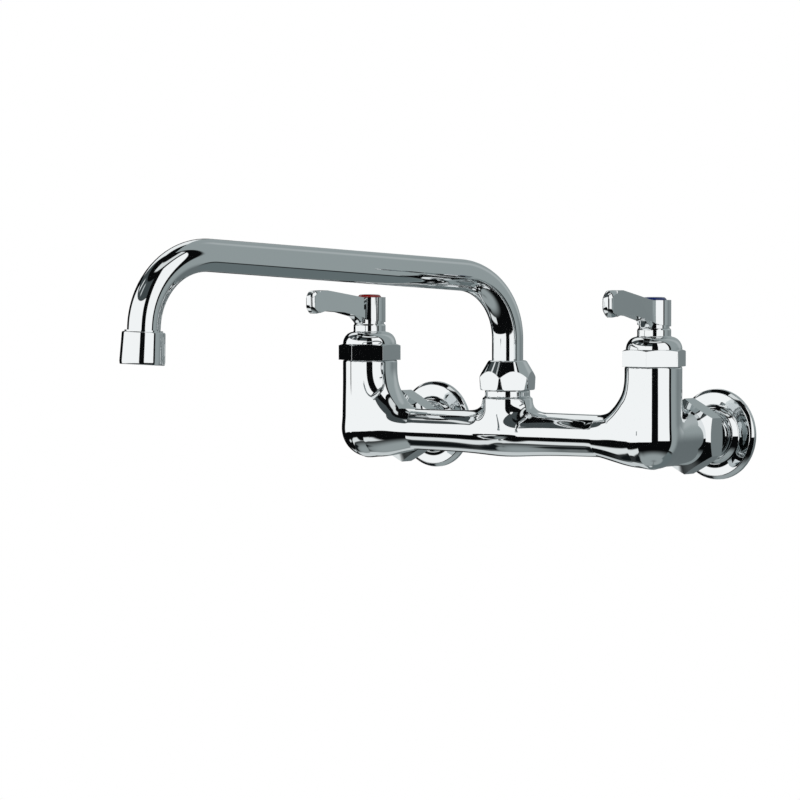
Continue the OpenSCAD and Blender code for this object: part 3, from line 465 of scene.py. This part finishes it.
def outerSurface(p):
    # signed distance, roughly; negative inside the metal
    s = casting
    x, y, z = p[:, 0], p[:, 1] - valveY, p[:, 2]
    low = np.minimum(z, 0)
    ax = np.abs(x) - valveX
    fromColumn = np.hypot(ax, y) + tiny
    fromBar = np.hypot(y, z) + tiny
    fromSpout = np.hypot(x, y) + tiny
    fromInlet = np.hypot(ax, z)

    ball = np.sqrt(fromColumn ** 2 + (low / s["elbowTall"]) ** 2 + np.maximum(z, 0) ** 2)
    column = np.where(z > 0, fromColumn, ball) - s["columnR"]
    column = column - s["elbowMore"] * rise01(1 - z / s["elbowRise"])

    spoutBoss = np.sqrt(fromSpout ** 2 + (s["spoutBossFlat"] * low) ** 2) - s["spoutBossR"]
    level = np.minimum(y * y / (fromSpout * fromBar), s["bossLevel"])
    level = level + (1 - level) * rise01(-z / s["bossFade"])
    bar = fillet(spoutBoss, barSurface(x, y, z), s["bossFlare"], s["bossRise"], level)
    bar = smoothCut(bar, z - s["spoutBossTop"], s["rimRound"])

    # the crossbar joins the elbow; nothing of it shows on the column's outer half
    beyond = np.maximum(ax, 0) ** 2 / 2
    along = np.where(z > 0, y * y / (fromColumn * fromBar), fromBar / np.hypot(fromColumn, z))
    along = along + (1 - along) * rise01(z / s["barFade"])
    body = fillet(column, bar + beyond, s["elbowReach"], s["barReach"], along)
    sweep, outX, outY, outZ = sweepSurface(ax, y, z)
    away = np.hypot(fromColumn, low) + tiny
    parallel = np.clip((outX * ax + outY * y + outZ * low) / away, 0, 1)
    parallel = np.minimum(parallel, s["bendParallel"])
    body = fillet(body, sweep + beyond, s["bendJoin"], s["bendJoin"], parallel)

    # a generous fillet climbs the column's back from the inlet boss
    boss = np.where(y > 0, fromInlet, np.sqrt(fromInlet ** 2 + y * y)) - s["bossR"]
    boss = smoothCut(boss, p[:, 1] - s["bossEnd"], s["endRound"])
    back = np.where(z > 0, ax * ax / (fromColumn * (fromInlet + tiny)),
                    fromInlet / np.hypot(fromColumn, z))
    back = back + (1 - back) * rise01((s["backFrom"] - y) / s["backRun"])
    body = fillet(body, boss, s["inletReach"], s["inletRise"], back)
    overTop = np.where(np.abs(ax) < s["topSpan"], z - s["columnTop"], wellInside)
    body = smoothCut(body, overTop, s["rimRound"])

    def stub(side, end, root, rounding):
        # a round stub stands on the casting; its root is hidden in it
        return smoothCut(smoothCut(side, end, rounding), root, s["endRound"])

    stubs = [
        stub(fromSpout - s["ringR"], z - s["ringTop"], -z, s["endRound"]),
        stub(fromSpout - s["spoutThreadR"], z - s["spoutThreadTop"], -z, s["threadRound"]),
        stub(fromColumn - s["neckR"], z - s["neckTop"], -z, s["threadRound"]),
        stub(fromInlet - s["threadR"], p[:, 1] - s["threadEnd"], -y, s["threadRound"]),
    ]
    for extra in stubs:
        body = smoothJoin(body, extra, s["seamRound"])
    return body


def boreSurface(p):
    # negative inside the waterways
    s = casting
    x, y, z = p[:, 0], p[:, 1] - valveY, p[:, 2]
    ax = np.abs(x) - valveX
    fromColumn = np.hypot(ax, y)
    fromSpout = np.hypot(x, y)
    foot, head = s["feedFoot"], s["feedHead"]
    chamber = np.maximum(fromColumn - s["chamberR"], s["seat"] - z)
    throat = np.maximum(fromColumn - s["throatR"], -z)
    inlet = np.maximum(np.hypot(ax, z) - s["boreR"], -y)
    crossing = np.maximum(np.hypot(y, z) - s["barBore"], np.abs(x) - (valveX - foot[0]))
    socket = np.maximum(fromSpout - s["socketR"], s["socketFloor"] - z)
    riser = np.maximum(fromSpout - s["boreR"], -z)
    # the sloping feed from each chamber down to the crossbar's waterway
    run = (head[0] - foot[0], head[1] - foot[1])
    dx, dz = -ax - foot[0], z - foot[1]
    t = np.clip((dx * run[0] + dz * run[1]) / (run[0] ** 2 + run[1] ** 2), 0, 1)
    feed = np.sqrt((dx - t * run[0]) ** 2 + (dz - t * run[1]) ** 2 + y * y) - s["feedR"]
    return np.minimum.reduce([chamber, throat, inlet, crossing, socket, riser, feed])


def metalSurface(p):
    return smoothCut(outerSurface(p), -boreSurface(p), casting["mouthRound"])


def slopeOf(surface, p, step=0.04):
    out = np.empty_like(p)
    for axis in range(3):
        shift = np.zeros(3)
        shift[axis] = step
        out[:, axis] = (surface(p + shift) - surface(p - shift)) / (2 * step)
    return out


def buildCasting():
    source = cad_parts["faucet_body"]
    piece = bpy.data.objects.new("faucetCasting", source.data.copy())
    bpy.context.collection.objects.link(piece)
    piece.data.transform(source.matrix_world)
    pick(piece)
    bpy.ops.object.mode_set(mode="EDIT")
    bpy.ops.mesh.select_all(action="SELECT")
    bpy.ops.mesh.remove_doubles(threshold=mergeWithin / 2 * mm)
    bpy.ops.object.mode_set(mode="OBJECT")
    mesh = piece.data

    def evenNet(size):
        # a fresh even net, with its points in mm and its edges
        remesh = piece.modifiers.new("even", "REMESH")
        remesh.mode = "VOXEL"
        remesh.voxel_size = size * mm
        bpy.ops.object.modifier_apply(modifier=remesh.name)
        points = np.empty(len(mesh.vertices) * 3)
        mesh.vertices.foreach_get("co", points)
        edges = np.empty(len(mesh.edges) * 2, int)
        mesh.edges.foreach_get("vertices", edges)
        return points.reshape(-1, 3) / mm, edges.reshape(-1, 2)

    def ontoSurface(p, times):
        most, least = casting["stepMost"], casting["leastSlope"]
        for _ in range(times):
            value = metalSurface(p)
            slope = slopeOf(metalSurface, p)
            size = np.maximum((slope ** 2).sum(axis=1), least)
            p = p - np.clip(value / size, -most, most)[:, None] * slope
        return p

    def relaxed(p, edges, times):
        # evens out the net along the surface, then puts it back onto it
        count = np.bincount(edges.ravel(), minlength=len(p))[:, None]
        for _ in range(times):
            total = np.zeros_like(p)
            np.add.at(total, edges[:, 0], p[edges[:, 1]])
            np.add.at(total, edges[:, 1], p[edges[:, 0]])
            p = ontoSurface(p + casting["relax"] * (total / count - p), 2)
        return p

    def putBack(p):
        mesh.vertices.foreach_set("co", (p * mm).ravel())
        mesh.update()

    p, edges = evenNet(casting["firstVoxel"])
    putBack(ontoSurface(p, 8))
    p, edges = evenNet(casting["voxel"])
    p = ontoSurface(relaxed(ontoSurface(p, 4), edges, 4), 3)
    print("casting vertices", len(p))
    putBack(p)
    normals = slopeOf(metalSurface, p)
    normals /= np.linalg.norm(normals, axis=1)[:, None]
    bpy.ops.object.shade_smooth()
    mesh.normals_split_custom_set_from_vertices(normals.tolist())
    dress(piece, castChrome, "faucet_base", ["faucet_body"])


buildCasting()
print("casting shaped")

# bonnet nuts: a spun outline with a domed top and a neck, cut to a hexagon
bonnet = {"flats": 32.0, "hexHeight": 9.2, "chamfer": 16.0, "boreR": 13.5, "boreTop": 8.2,
          "domeWide": 6.3, "domeTall": 7.4, "domeLift": 0.25, "domeArc": 84, "stemHoleR": 7.9,
          "neckR": 9.5, "neckHeight": 4.7, "neckFoot": 0.35, "neckChamfer": (0.5, 0.9),
          "turn": {"hot": 33.5, "cold": 50.0}, "bottom": 40.5, "edge": (0.4, 3, 18)}


def buildBonnet(side):
    s = bonnet
    outside = cornerRadius(s["flats"]) + 2
    slope = math.tan(math.radians(s["chamfer"]))
    domeFoot = s["hexHeight"] + s["domeLift"]
    shoulder = s["hexHeight"] + s["domeTall"]
    top = shoulder + s["neckHeight"]
    chamferWide, chamferTall = s["neckChamfer"]
    section = [(s["boreR"], 0), (outside, 0),
               (outside, s["hexHeight"] - (outside - s["neckR"] - s["domeWide"]) * slope)]
    section += [(s["neckR"] + s["domeWide"] * c, domeFoot + (s["domeTall"] - s["domeLift"]) * h)
                for c, h in arc(0, 0, 1, 0, s["domeArc"], 16)]
    section += [(s["neckR"], shoulder + s["neckFoot"]), (s["neckR"], top - chamferTall),
                (s["neckR"] - chamferWide, top), (s["stemHoleR"], top),
                (s["stemHoleR"], s["boreTop"]), (s["boreR"], s["boreTop"])]
    piece = spunRing(side + "BonnetNut", section)
    combine(piece, hexPrism(s["flats"], -1, top + 1), "INTERSECT")
    softenEdges(piece, *s["edge"])
    place(piece, s["turn"][side], (sides[side] * valveX, valveY, s["bottom"]))
    dress(piece, turnedChrome, "faucet_base", [side + "_bonnet_nut"])


for side in sides:
    buildBonnet(side)

# spout nut: a hexagon under a cone; its corners lean inwards by so much at foot, lead-in and brow
spoutNut = {"flats": 29.1, "height": 17.0, "hexHeight": 7.4, "leadIn": 0.6,
            "cornerLean": (1.3, 0.85, 0.25), "topR": 10.7, "topRound": 0.5, "topIn": 0.2,
            "boreR": 12.4, "boreTop": 12.7, "tubeHoleR": 9.25, "turn": 49.7, "bottom": 25.0,
            "edge": (0.5, 3, 15)}


def buildSpoutNut():
    s = spoutNut
    corner = cornerRadius(s["flats"])
    foot, lead, brow = s["cornerLean"]
    section = [(s["boreR"], 0), (corner - foot, 0), (corner - lead, s["leadIn"]),
               (corner - brow, s["hexHeight"]),
               (s["topR"] + s["topRound"], s["height"] - s["topRound"]),
               (s["topR"] - s["topIn"], s["height"]), (s["tubeHoleR"], s["height"]),
               (s["tubeHoleR"], s["boreTop"]), (s["boreR"], s["boreTop"])]
    piece = spunRing("spoutNut", section)
    combine(piece, hexPrism(s["flats"], -1, s["height"] + 1), "INTERSECT")
    softenEdges(piece, *s["edge"])
    place(piece, s["turn"], (0, valveY, s["bottom"]))
    dress(piece, turnedChrome, "faucet_base", ["spout_nut"])


buildSpoutNut()

# coupling nuts, with the lip that bears on the shank's collar
couplingNut = {"flats": 37.3, "back": 24.3, "front": 37.9, "lip": 2.3, "lipR": 12.7,
               "threadR": 15.8, "proud": 0.05, "edge": (0.45, 3, 15)}


def buildCouplingNut(side):
    s = couplingNut
    corner = cornerRadius(s["flats"])
    bevel = corner - s["flats"] / 2
    outside = corner + s["proud"]
    h = s["front"] - s["back"]
    section = [(s["lipR"], 0), (corner - bevel, 0), (outside, bevel / 2), (outside, h - bevel),
               (corner - 2 * bevel, h), (s["threadR"], h), (s["threadR"], s["lip"]),
               (s["lipR"], s["lip"])]
    piece = spunRing(side + "CouplingNut", section)
    combine(piece, hexPrism(s["flats"], -1, h + 1), "INTERSECT")
    softenEdges(piece, *s["edge"])
    place(piece, 90, (sides[side] * valveX, -s["back"], 0), toWall)
    dress(piece, turnedChrome, "faucet_base", [side + "_coupling_nut"])


for side in sides:
    buildCouplingNut(side)
print("nuts made")

# wall flanges: a pressed plate with a turned rim, a shallow dish and a raised collar
flange = {
    "r": 26.0, "rim": 4.2, "stand": 8.0, "hole": 12.85, "sheet": 1.4, "foot": 0.3,
    "edge": (0.25, 2, 30), "steps": 128,
    "rimLine": [(0.0, -1.9), (0.3, -1.4), (1.7, -0.2), (2.1, 0.08)],  # in from the edge, up
    "dish": [(20.5, 0.2), (17.6, 0.3), (16.6, 0.8)],  # radius, above the rim
    "collar": [(15.6, -0.9), (14.6, 0.0)],  # radius, above the collar's top
    "collarInside": (14.2, -1.5), "dishInside": (15.8, -0.3), "rimInside": (1.6, -1.0),
}
# inlet shanks: radius and distance from the wall of each corner, round the section
shank = {"edge": (0.2, 2, 30), "section": [
    (9.3, 0), (12.3, 0), (12.6, 0.3), (12.6, 26.6), (15.3, 26.6), (15.3, 29.0), (6.5, 29.0),
    (6.5, 15), (9.3, 15)]}


def buildFlange(side):
    s = flange
    r, rim, stand, hole, foot = s["r"], s["rim"], s["stand"], s["hole"], s["foot"]
    section = [(r - s["sheet"], 0), (r - foot, 0), (r, foot)]
    section += [(r - inwards, rim + up) for inwards, up in s["rimLine"]]
    section += [(radius, rim + up) for radius, up in s["dish"]]
    section += [(radius, stand + up) for radius, up in s["collar"]]
    section += [(hole + foot, stand), (hole, stand - foot), (hole, stand - s["sheet"]),
                (s["collarInside"][0], stand + s["collarInside"][1]),
                (s["dishInside"][0], rim + s["dishInside"][1]),
                (r - s["rimInside"][0], rim + s["rimInside"][1])]
    piece = spunRing(side + "WallFlange", section, s["steps"])
    softenEdges(piece, *s["edge"])
    place(piece, 0, (sides[side] * valveX, 0, 0), toWall)
    dress(piece, turnedChrome, "faucet_base", [side + "_wall_flange"])


def buildShank(side):
    piece = spunRing(side + "InletShank", shank["section"])
    softenEdges(piece, *shank["edge"])
    place(piece, 0, (sides[side] * valveX, 0, 0), toWall)
    dress(piece, turnedChrome, "faucet_base", [side + "_inlet_shank"])


for side in sides:
    buildFlange(side)
    buildShank(side)
print("flanges and shanks made")

# spout tube: a circle pushed and spun along the spout's line, then given its wall
tube = {"r": 9.0, "wall": 1.0, "reach": 252.0, "height": 89.1, "climb": 3.7, "riserBend": 37.0,
        "outletBend": 40.0, "lean": 3.5, "drop": 44.9, "foot": 24.4, "swing": 14.4, "sides": 72,
        "steps": {"end": 3, "riser": 44, "straight": 12, "outlet": 48}}
outlet = {"mouthR": 12.3, "topR": 11.7, "height": 17.6, "adapterBottom": 10.4,
          "edge": (0.12, 2, 30),
          "boreR": 10.42, "insertR": 9.3, "insertTop": 1.4, "lip": [(9.3, 0.15), (9.7, 0)],
          "mouth": [(0.5, 0), (0.27, 0.2), (0.02, 1.7)],  # in from the mouth's radius, up
          "shoulder": [(0, 0.7), (0.25, 0.15), (0.8, 0)]}  # in from the top's radius, down


def spoutLine():
    # where the tube bends: the riser's bend starts, the outlet's bend starts, the straight's
    # length, the outlet's turn and the length of the last leg
    s = tube
    climb, lean = math.radians(s["climb"]), math.radians(s["lean"])
    arcStart = s["height"] + s["riserBend"] * math.tan(climb) - s["riserBend"] / math.cos(climb)
    leg = s["drop"] + s["reach"] * math.tan(climb)
    leg = leg / (math.cos(lean) + math.tan(climb) * math.sin(lean))
    corner = (s["reach"] - leg * math.sin(lean), s["height"] - s["drop"] + leg * math.cos(lean))
    turn = 90 + s["climb"] - s["lean"]
    cut = s["outletBend"] * math.tan(math.radians(turn / 2))
    arcEnd = (s["riserBend"] * (1 - math.sin(climb)), arcStart + s["riserBend"] * math.cos(climb))
    second = (corner[0] - cut * math.cos(climb), corner[1] - cut * math.sin(climb))
    straight = math.hypot(second[0] - arcEnd[0], second[1] - arcEnd[1])
    return arcStart, second, straight, turn, leg - cut - outlet["adapterBottom"]


def buildTube():
    s, steps = tube, tube["steps"]
    arcStart, second, straight, turn, leg = spoutLine()
    climb, lean = math.radians(s["climb"]), math.radians(s["lean"])
    deselectAll()
    bpy.ops.mesh.primitive_circle_add(vertices=s["sides"], radius=s["r"] * mm,
                                      location=(0, 0, s["foot"] * mm))
    piece = bpy.context.object
    piece.name = "spoutTube"
    bpy.ops.object.transform_apply(location=True)
    bpy.ops.object.mode_set(mode="EDIT")
    bpy.ops.mesh.select_all(action="SELECT")

    def push(dx, dz, times):
        step = (dx / times * mm, 0, dz / times * mm)
        for _ in range(times):
            bpy.ops.mesh.extrude_region_move(TRANSFORM_OT_translate={"value": step})

    def bend(x, z, turn, times):
        bpy.ops.mesh.spin(steps=times, angle=math.radians(turn), center=(x * mm, 0, z * mm),
                          axis=(0, -1, 0))

    push(0, arcStart - s["foot"], steps["end"])
    bend(s["riserBend"], arcStart, 90 - s["climb"], steps["riser"])
    push(straight * math.cos(climb), straight * math.sin(climb), steps["straight"])
    bend(second[0] + s["outletBend"] * math.sin(climb),
         second[1] - s["outletBend"] * math.cos(climb), turn, steps["outlet"])
    push(leg * math.sin(lean), -leg * math.cos(lean), steps["end"])
    bpy.ops.mesh.select_all(action="SELECT")
    bpy.ops.mesh.normals_make_consistent(inside=False)
    bpy.ops.object.mode_set(mode="OBJECT")
    wall = piece.modifiers.new("wall", "SOLIDIFY")
    wall.thickness = s["wall"] * mm
    wall.offset = -1
    bpy.ops.object.modifier_apply(modifier=wall.name)
    bpy.ops.object.shade_smooth_by_angle(angle=math.radians(smoothLimit))
    place(piece, -90 - s["swing"], (0, valveY, 0))
    dress(piece, drawnChrome, "spout", ["spout_tube"])


buildTube()
print("spout tube bent")


def buildOutlet():
    # the aerator's housing hangs on the tube's end and leans with it
    s = outlet
    section = s["lip"] + [(s["mouthR"] - inwards, up) for inwards, up in s["mouth"]]
    section += [(s["topR"] - inwards, s["height"] - down) for inwards, down in s["shoulder"]]
    section += [(s["boreR"], s["height"]), (s["boreR"], s["insertTop"]),
                (s["insertR"], s["insertTop"])]
    piece = spunRing("aeratorHousing", section)
    softenEdges(piece, *s["edge"])
    piece.data.transform(
        Matrix.Translation((0, valveY * mm, 0))
        @ Matrix.Rotation(math.radians(-90 - tube["swing"]), 4, "Z")
        @ Matrix.Translation((tube["reach"] * mm, 0, (tube["height"] - tube["drop"]) * mm))
        @ Matrix.Rotation(math.radians(-tube["lean"]), 4, "Y"))
    dress(piece, turnedChrome, "spout", ["aerator_housing"])


buildOutlet()
print("outlet made")

# levers: a side view and a plan cut from one another, with a skirt under the hub
lever = {
    "hubR": 9.5, "hubBottom": 62.6, "hubHeight": 15.0, "reach": 50.5, "edge": (0.4, 3, 22),
    "rise": {"hot": 4.4, "cold": 5.8}, "blade": {"hot": 12.0, "cold": 13.4},
    "out": {"hot": 6.3, "cold": 2.5},  # how far each lever stands away from straight out
    "topLine": [(0.5, 0.55), (0.76, 1.0)],  # shares of the reach and of the rise
    "underLine": [(0.86, -1.0), (0.78, 0.0)],  # share of the reach, above the blade's underside
    "belly": [(25.25, 69.0), (17.5, 67.4), (10.5, 66.0), (6.0, 63.9), (-5.0, 62.9)],
    "heel": 62.7, "noseBack": 3.6, "noseLong": 4.2, "noseSag": 1.6,
    # half widths at root and tip, how far the plan goes past the reach, and the tip's rounding
    "rootHalf": 4.9, "tipHalf": 3.3, "past": 0.6, "tipRound": 3.2,
    "rootGap": 1.6, "rootTurn": 6,  # between hub circle and flanks: a gap and an angle
    # the skirt: its lower edge, where that ends, and its plan as leverPlan takes it
    "skirt": 61.83, "skirtEnd": 9.0, "skirtPlan": (8.6, 3.4, 2.6, 24, 2.0),
    "web": [(9.6, 62.6), (11.2, 64.0), (13.7, 65.9), (19, 69.0), (19, 72)],
    "egg": (7.7, 4.6, 8.5), "eggAt": 44.0,  # the rounded tip's oval
    "buttonR": 7.05, "recess": 2.0,
    "halfWidth": 12, "cutLow": 55, "cutHigh": 95,  # the blocks that it is cut from
}


def leverPlan(radius, half, tipHalf, reach, tip):
    # hub circle running into the blade's flanks, with a small fillet where they meet
    meet = math.degrees(math.asin(half / radius))
    root = radius * math.cos(math.radians(meet)) + lever["rootGap"]
    points = arc(0, 0, radius, 360 - meet - lever["rootTurn"], meet + lever["rootTurn"], 40)
    points += [(root, half)]
    points += arc(reach - tip, tipHalf - tip, tip, 90, 0, 8)
    points += arc(reach - tip, -(tipHalf - tip), tip, 0, -90, 8)
    points += [(root, -half)]
    return points


def roundTip(piece, middle):
    # the blade's end is rounded to an oval: what stands outside an egg shape is cut away
    s = lever
    deselectAll()
    bpy.ops.mesh.primitive_uv_sphere_add(segments=48, ring_count=32, radius=mm)
    egg = bpy.context.object
    egg.scale = s["egg"]
    egg.location = (s["eggAt"] * mm, 0, middle * mm)
    bpy.ops.object.transform_apply(location=True, rotation=False, scale=True)
    wide, start, end = s["halfWidth"] + 2, s["eggAt"], s["reach"] + 8
    outside = prism("outside", [(start, -wide), (end, -wide), (end, wide), (start, wide)],
                    s["cutLow"] - 5, s["cutHigh"] + 5)
    combine(outside, egg, "DIFFERENCE")
    combine(piece, outside, "DIFFERENCE")


def cutRecess(piece, top):
    # the round recess that holds the index button
    s, depth = lever, 10
    deselectAll()
    bpy.ops.mesh.primitive_cylinder_add(
        vertices=64, radius=s["buttonR"] * mm, depth=depth * mm,
        location=(0, 0, (top - s["recess"] + depth / 2) * mm))
    recess = bpy.context.object
    bpy.ops.object.transform_apply(location=True)
    combine(piece, recess, "DIFFERENCE")


def buildLever(side):
    s = lever
    wide, low, high, reach = s["halfWidth"], s["cutLow"], s["cutHigh"], s["reach"]
    rear = -s["hubR"] - 1
    top = s["hubBottom"] + s["hubHeight"]
    crest = top + s["rise"][side]
    under = crest - s["blade"][side]
    middle, half = (crest + under - s["noseSag"]) / 2, (crest - under + s["noseSag"]) / 2
    upper = [(rear, top), (s["hubR"], top)]
    upper += [(reach * far, top + s["rise"][side] * up) for far, up in s["topLine"]]
    upper += [(reach - s["noseBack"] + s["noseLong"] * c, middle + half * h)
              for c, h in arc(0, 0, 1, 72, -95, 14)]
    upper += [(reach * far, under + up) for far, up in s["underLine"]]
    upper += s["belly"] + [(rear, s["heel"])]
    piece = prism(side + "Lever", upper, -wide, wide, False)
    plan = leverPlan(s["hubR"], s["rootHalf"], s["tipHalf"], reach + s["past"], s["tipRound"])
    combine(piece, prism("planCut", plan, low, high), "INTERSECT")
    lower = [(rear, s["skirt"]), (s["skirtEnd"], s["skirt"])] + s["web"] + [(rear, s["web"][-1][1])]
    sleeve = prism("sleeve", lower, -wide, wide, False)
    combine(sleeve, prism("sleeveCut", leverPlan(*s["skirtPlan"]), low, high), "INTERSECT")
    combine(piece, sleeve, "UNION")
    roundTip(piece, middle)
    cutRecess(piece, top)
    softenEdges(piece, *s["edge"])
    place(piece, -90 + sides[side] * s["out"][side], (sides[side] * valveX, valveY, 0))
    dress(piece, turnedChrome, side + "_handle", [side + "_lever_handle"])


for side in sides:
    buildLever(side)
print("levers made")

plastic = {"roughness": 0.12, "gloss": 0.6, "glossRoughness": 0.04, "deep": 0.8,
           "waveSize": 3, "waveDepth": 0.01}
bareMetal = {"ringDepth": 0.008, "stainSize": 4, "stained": 0.72, "shinier": 0.06, "duller": 0.1}
mattSpread = 0.08  # how far a matt body's roughness goes either way


# moulded plastic: an even body colour under a clear gloss, with the mould's faint waviness
def glossPlastic(name, colour):
    s = plastic
    finish, tree, shader = newFinish(name, colour, 0.0, s["roughness"])
    shader.inputs["Coat Weight"].default_value = s["gloss"]
    shader.inputs["Coat Roughness"].default_value = s["glossRoughness"]
    deep = [c * s["deep"] for c in hexColour(colour)]
    spot = addNode(tree, "ShaderNodeTexCoord").outputs["Object"]
    wave = addNode(tree, "ShaderNodeTexNoise", None,
                   {"Vector": spot, "Scale": 1 / (s["waveSize"] * mm), "Detail": 1.0})
    bump = addNode(tree, "ShaderNodeBump", None, {
        "Height": wave.outputs["Fac"], "Strength": 1.0, "Distance": s["waveDepth"] * mm})
    tree.links.new(bump.outputs[0], shader.inputs["Normal"])
    shade = addNode(tree, "ShaderNodeMix", {"data_type": "RGBA"},
                    {"Factor": wave.outputs["Fac"], "A": hexColour(colour), "B": deep})
    tree.links.new(shade.outputs["Result"], shader.inputs["Base Color"])
    return finish


# bare metal off the lathe or the draw bench: fine rings, light staining and uneven shine
def turnedMetal(name, colour, roughness, ringSpacing):
    s = bareMetal
    finish, tree, shader = newFinish(name, colour, 1.0, roughness)
    stained = [c * s["stained"] for c in hexColour(colour)]
    spot = addNode(tree, "ShaderNodeTexCoord").outputs["Object"]
    # a wave texture at scale 1 has a band every 0.314 m
    rings = addNode(tree, "ShaderNodeTexWave", {"wave_type": "BANDS", "bands_direction": "Z"}, {
        "Vector": spot, "Scale": 0.314 / (ringSpacing * mm), "Distortion": 0.6, "Detail": 2.0})
    bump = addNode(tree, "ShaderNodeBump", None, {
        "Height": rings.outputs["Fac"], "Strength": 1.0, "Distance": s["ringDepth"] * mm})
    tree.links.new(bump.outputs[0], shader.inputs["Normal"])
    stain = addNode(tree, "ShaderNodeTexNoise", None,
                    {"Vector": spot, "Scale": 1 / (s["stainSize"] * mm), "Detail": 3.0})
    shade = addNode(tree, "ShaderNodeMix", {"data_type": "RGBA"},
                    {"Factor": stain.outputs["Fac"], "A": hexColour(colour), "B": stained})
    tree.links.new(shade.outputs["Result"], shader.inputs["Base Color"])
    wear = addNode(tree, "ShaderNodeMapRange", None, {
        "Value": stain.outputs["Fac"], "To Min": roughness - s["shinier"],
        "To Max": roughness + s["duller"]})
    tree.links.new(wear.outputs[0], shader.inputs["Roughness"])
    return finish


# matt bodies, moulded or fired: an even colour broken by a fine grain, duller where it is deep
def mattBody(name, colour, deep, roughness, grain, depth):
    finish, tree, shader = newFinish(name, colour, 0.0, roughness)
    spot = addNode(tree, "ShaderNodeTexCoord").outputs["Object"]
    speck = addNode(tree, "ShaderNodeTexNoise", None,
                    {"Vector": spot, "Scale": 1 / (grain * mm), "Detail": 4.0})
    shade = addNode(tree, "ShaderNodeMix", {"data_type": "RGBA"},
                    {"Factor": speck.outputs["Fac"], "A": hexColour(colour), "B": hexColour(deep)})
    tree.links.new(shade.outputs["Result"], shader.inputs["Base Color"])
    dull = addNode(tree, "ShaderNodeMapRange", None, {
        "Value": speck.outputs["Fac"], "To Min": roughness - mattSpread,
        "To Max": roughness + mattSpread})
    tree.links.new(dull.outputs[0], shader.inputs["Roughness"])
    bump = addNode(tree, "ShaderNodeBump", None, {
        "Height": speck.outputs["Fac"], "Strength": 1.0, "Distance": depth * mm})
    tree.links.new(bump.outputs[0], shader.inputs["Normal"])
    return finish


turnedBrass = turnedMetal("turned brass", "#D8B25C", 0.26, 0.5)
wireStainless = turnedMetal("stainless steel wire and sheet", "#B9BCBD", 0.3, 0.4)
nitrileRubber = mattBody("moulded nitrile rubber", "#1B1C1D", "#101112", 0.62, 0.6, 0.01)
lappedCeramic = mattBody("lapped alumina ceramic", "#F0EDE4", "#E2DED2", 0.22, 1.2, 0.002)
mouldedAcetal = mattBody("moulded acetal", "#E9E6DA", "#D9D5C6", 0.38, 2.0, 0.004)

# the pieces inside and the outlet's adapter keep CAD's shapes and take the real ones' finishes:
# first those that come as a hot and a cold one, then the single ones
keptPieces = [
    (turnedBrass, ["cartridge_housing", "valve_stem"], ["spout_ferrule"]),
    (nitrileRubber, ["union_washer", "seat_gasket", "stem_o_rings"],
     ["spout_o_rings", "aerator_washer"]),
    (lappedCeramic, ["fixed_disc", "turning_disc"], []),
    (mouldedAcetal, ["thrust_washer"],
     ["spout_glide_washer", "spout_glide_ring", "aerator_insert"]),
    (wireStainless, ["stem_clip", "handle_screw"], ["aerator_screen"]),
    (turnedChrome, [], ["outlet_adapter"]),
]
for finish, paired, single in keptPieces:
    for name in [side + "_" + part for side in sides for part in paired] + single:
        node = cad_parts[name]
        if not node.material_slots:
            node.data.materials.append(finish)
        for slot in node.material_slots:
            slot.material = finish
print("kept pieces finished")

# index buttons, slightly domed
button = {"r": 6.9, "foot": 75.65, "top": 79.3, "footRound": 0.3, "axis": 0.0001, "sharp": 28,
          "steps": 72,
          "rim": [(0, 1.3), (0.25, 0.95), (1.0, 0.25), (1.5, 0.12)],  # in from the edge, down
          "dome": 0.02}
indexLook = {
    "hot": (glossPlastic("red moulded plastic", "#7A120E"), "red_index"),
    "cold": (glossPlastic("blue moulded plastic", "#14245E"), "blue_index"),
}


def buildButton(side):
    s = button
    section = [(s["axis"], s["foot"]), (s["r"] - s["footRound"], s["foot"]),
               (s["r"], s["foot"] + s["footRound"])]
    section += [(s["r"] - inwards, s["top"] - down) for inwards, down in s["rim"]]
    section += [(s["r"] * 0.5, s["top"] - s["dome"]), (s["axis"], s["top"])]
    piece = spunRing(side + "IndexButton", section, s["steps"])
    bpy.ops.object.shade_smooth_by_angle(angle=math.radians(s["sharp"]))
    place(piece, 0, (sides[side] * valveX, valveY, 0))
    finish, slot = indexLook[side]
    dress(piece, finish, side + "_handle", [side + "_index_button"])


for side in sides:
    buildButton(side)
print("buttons made")
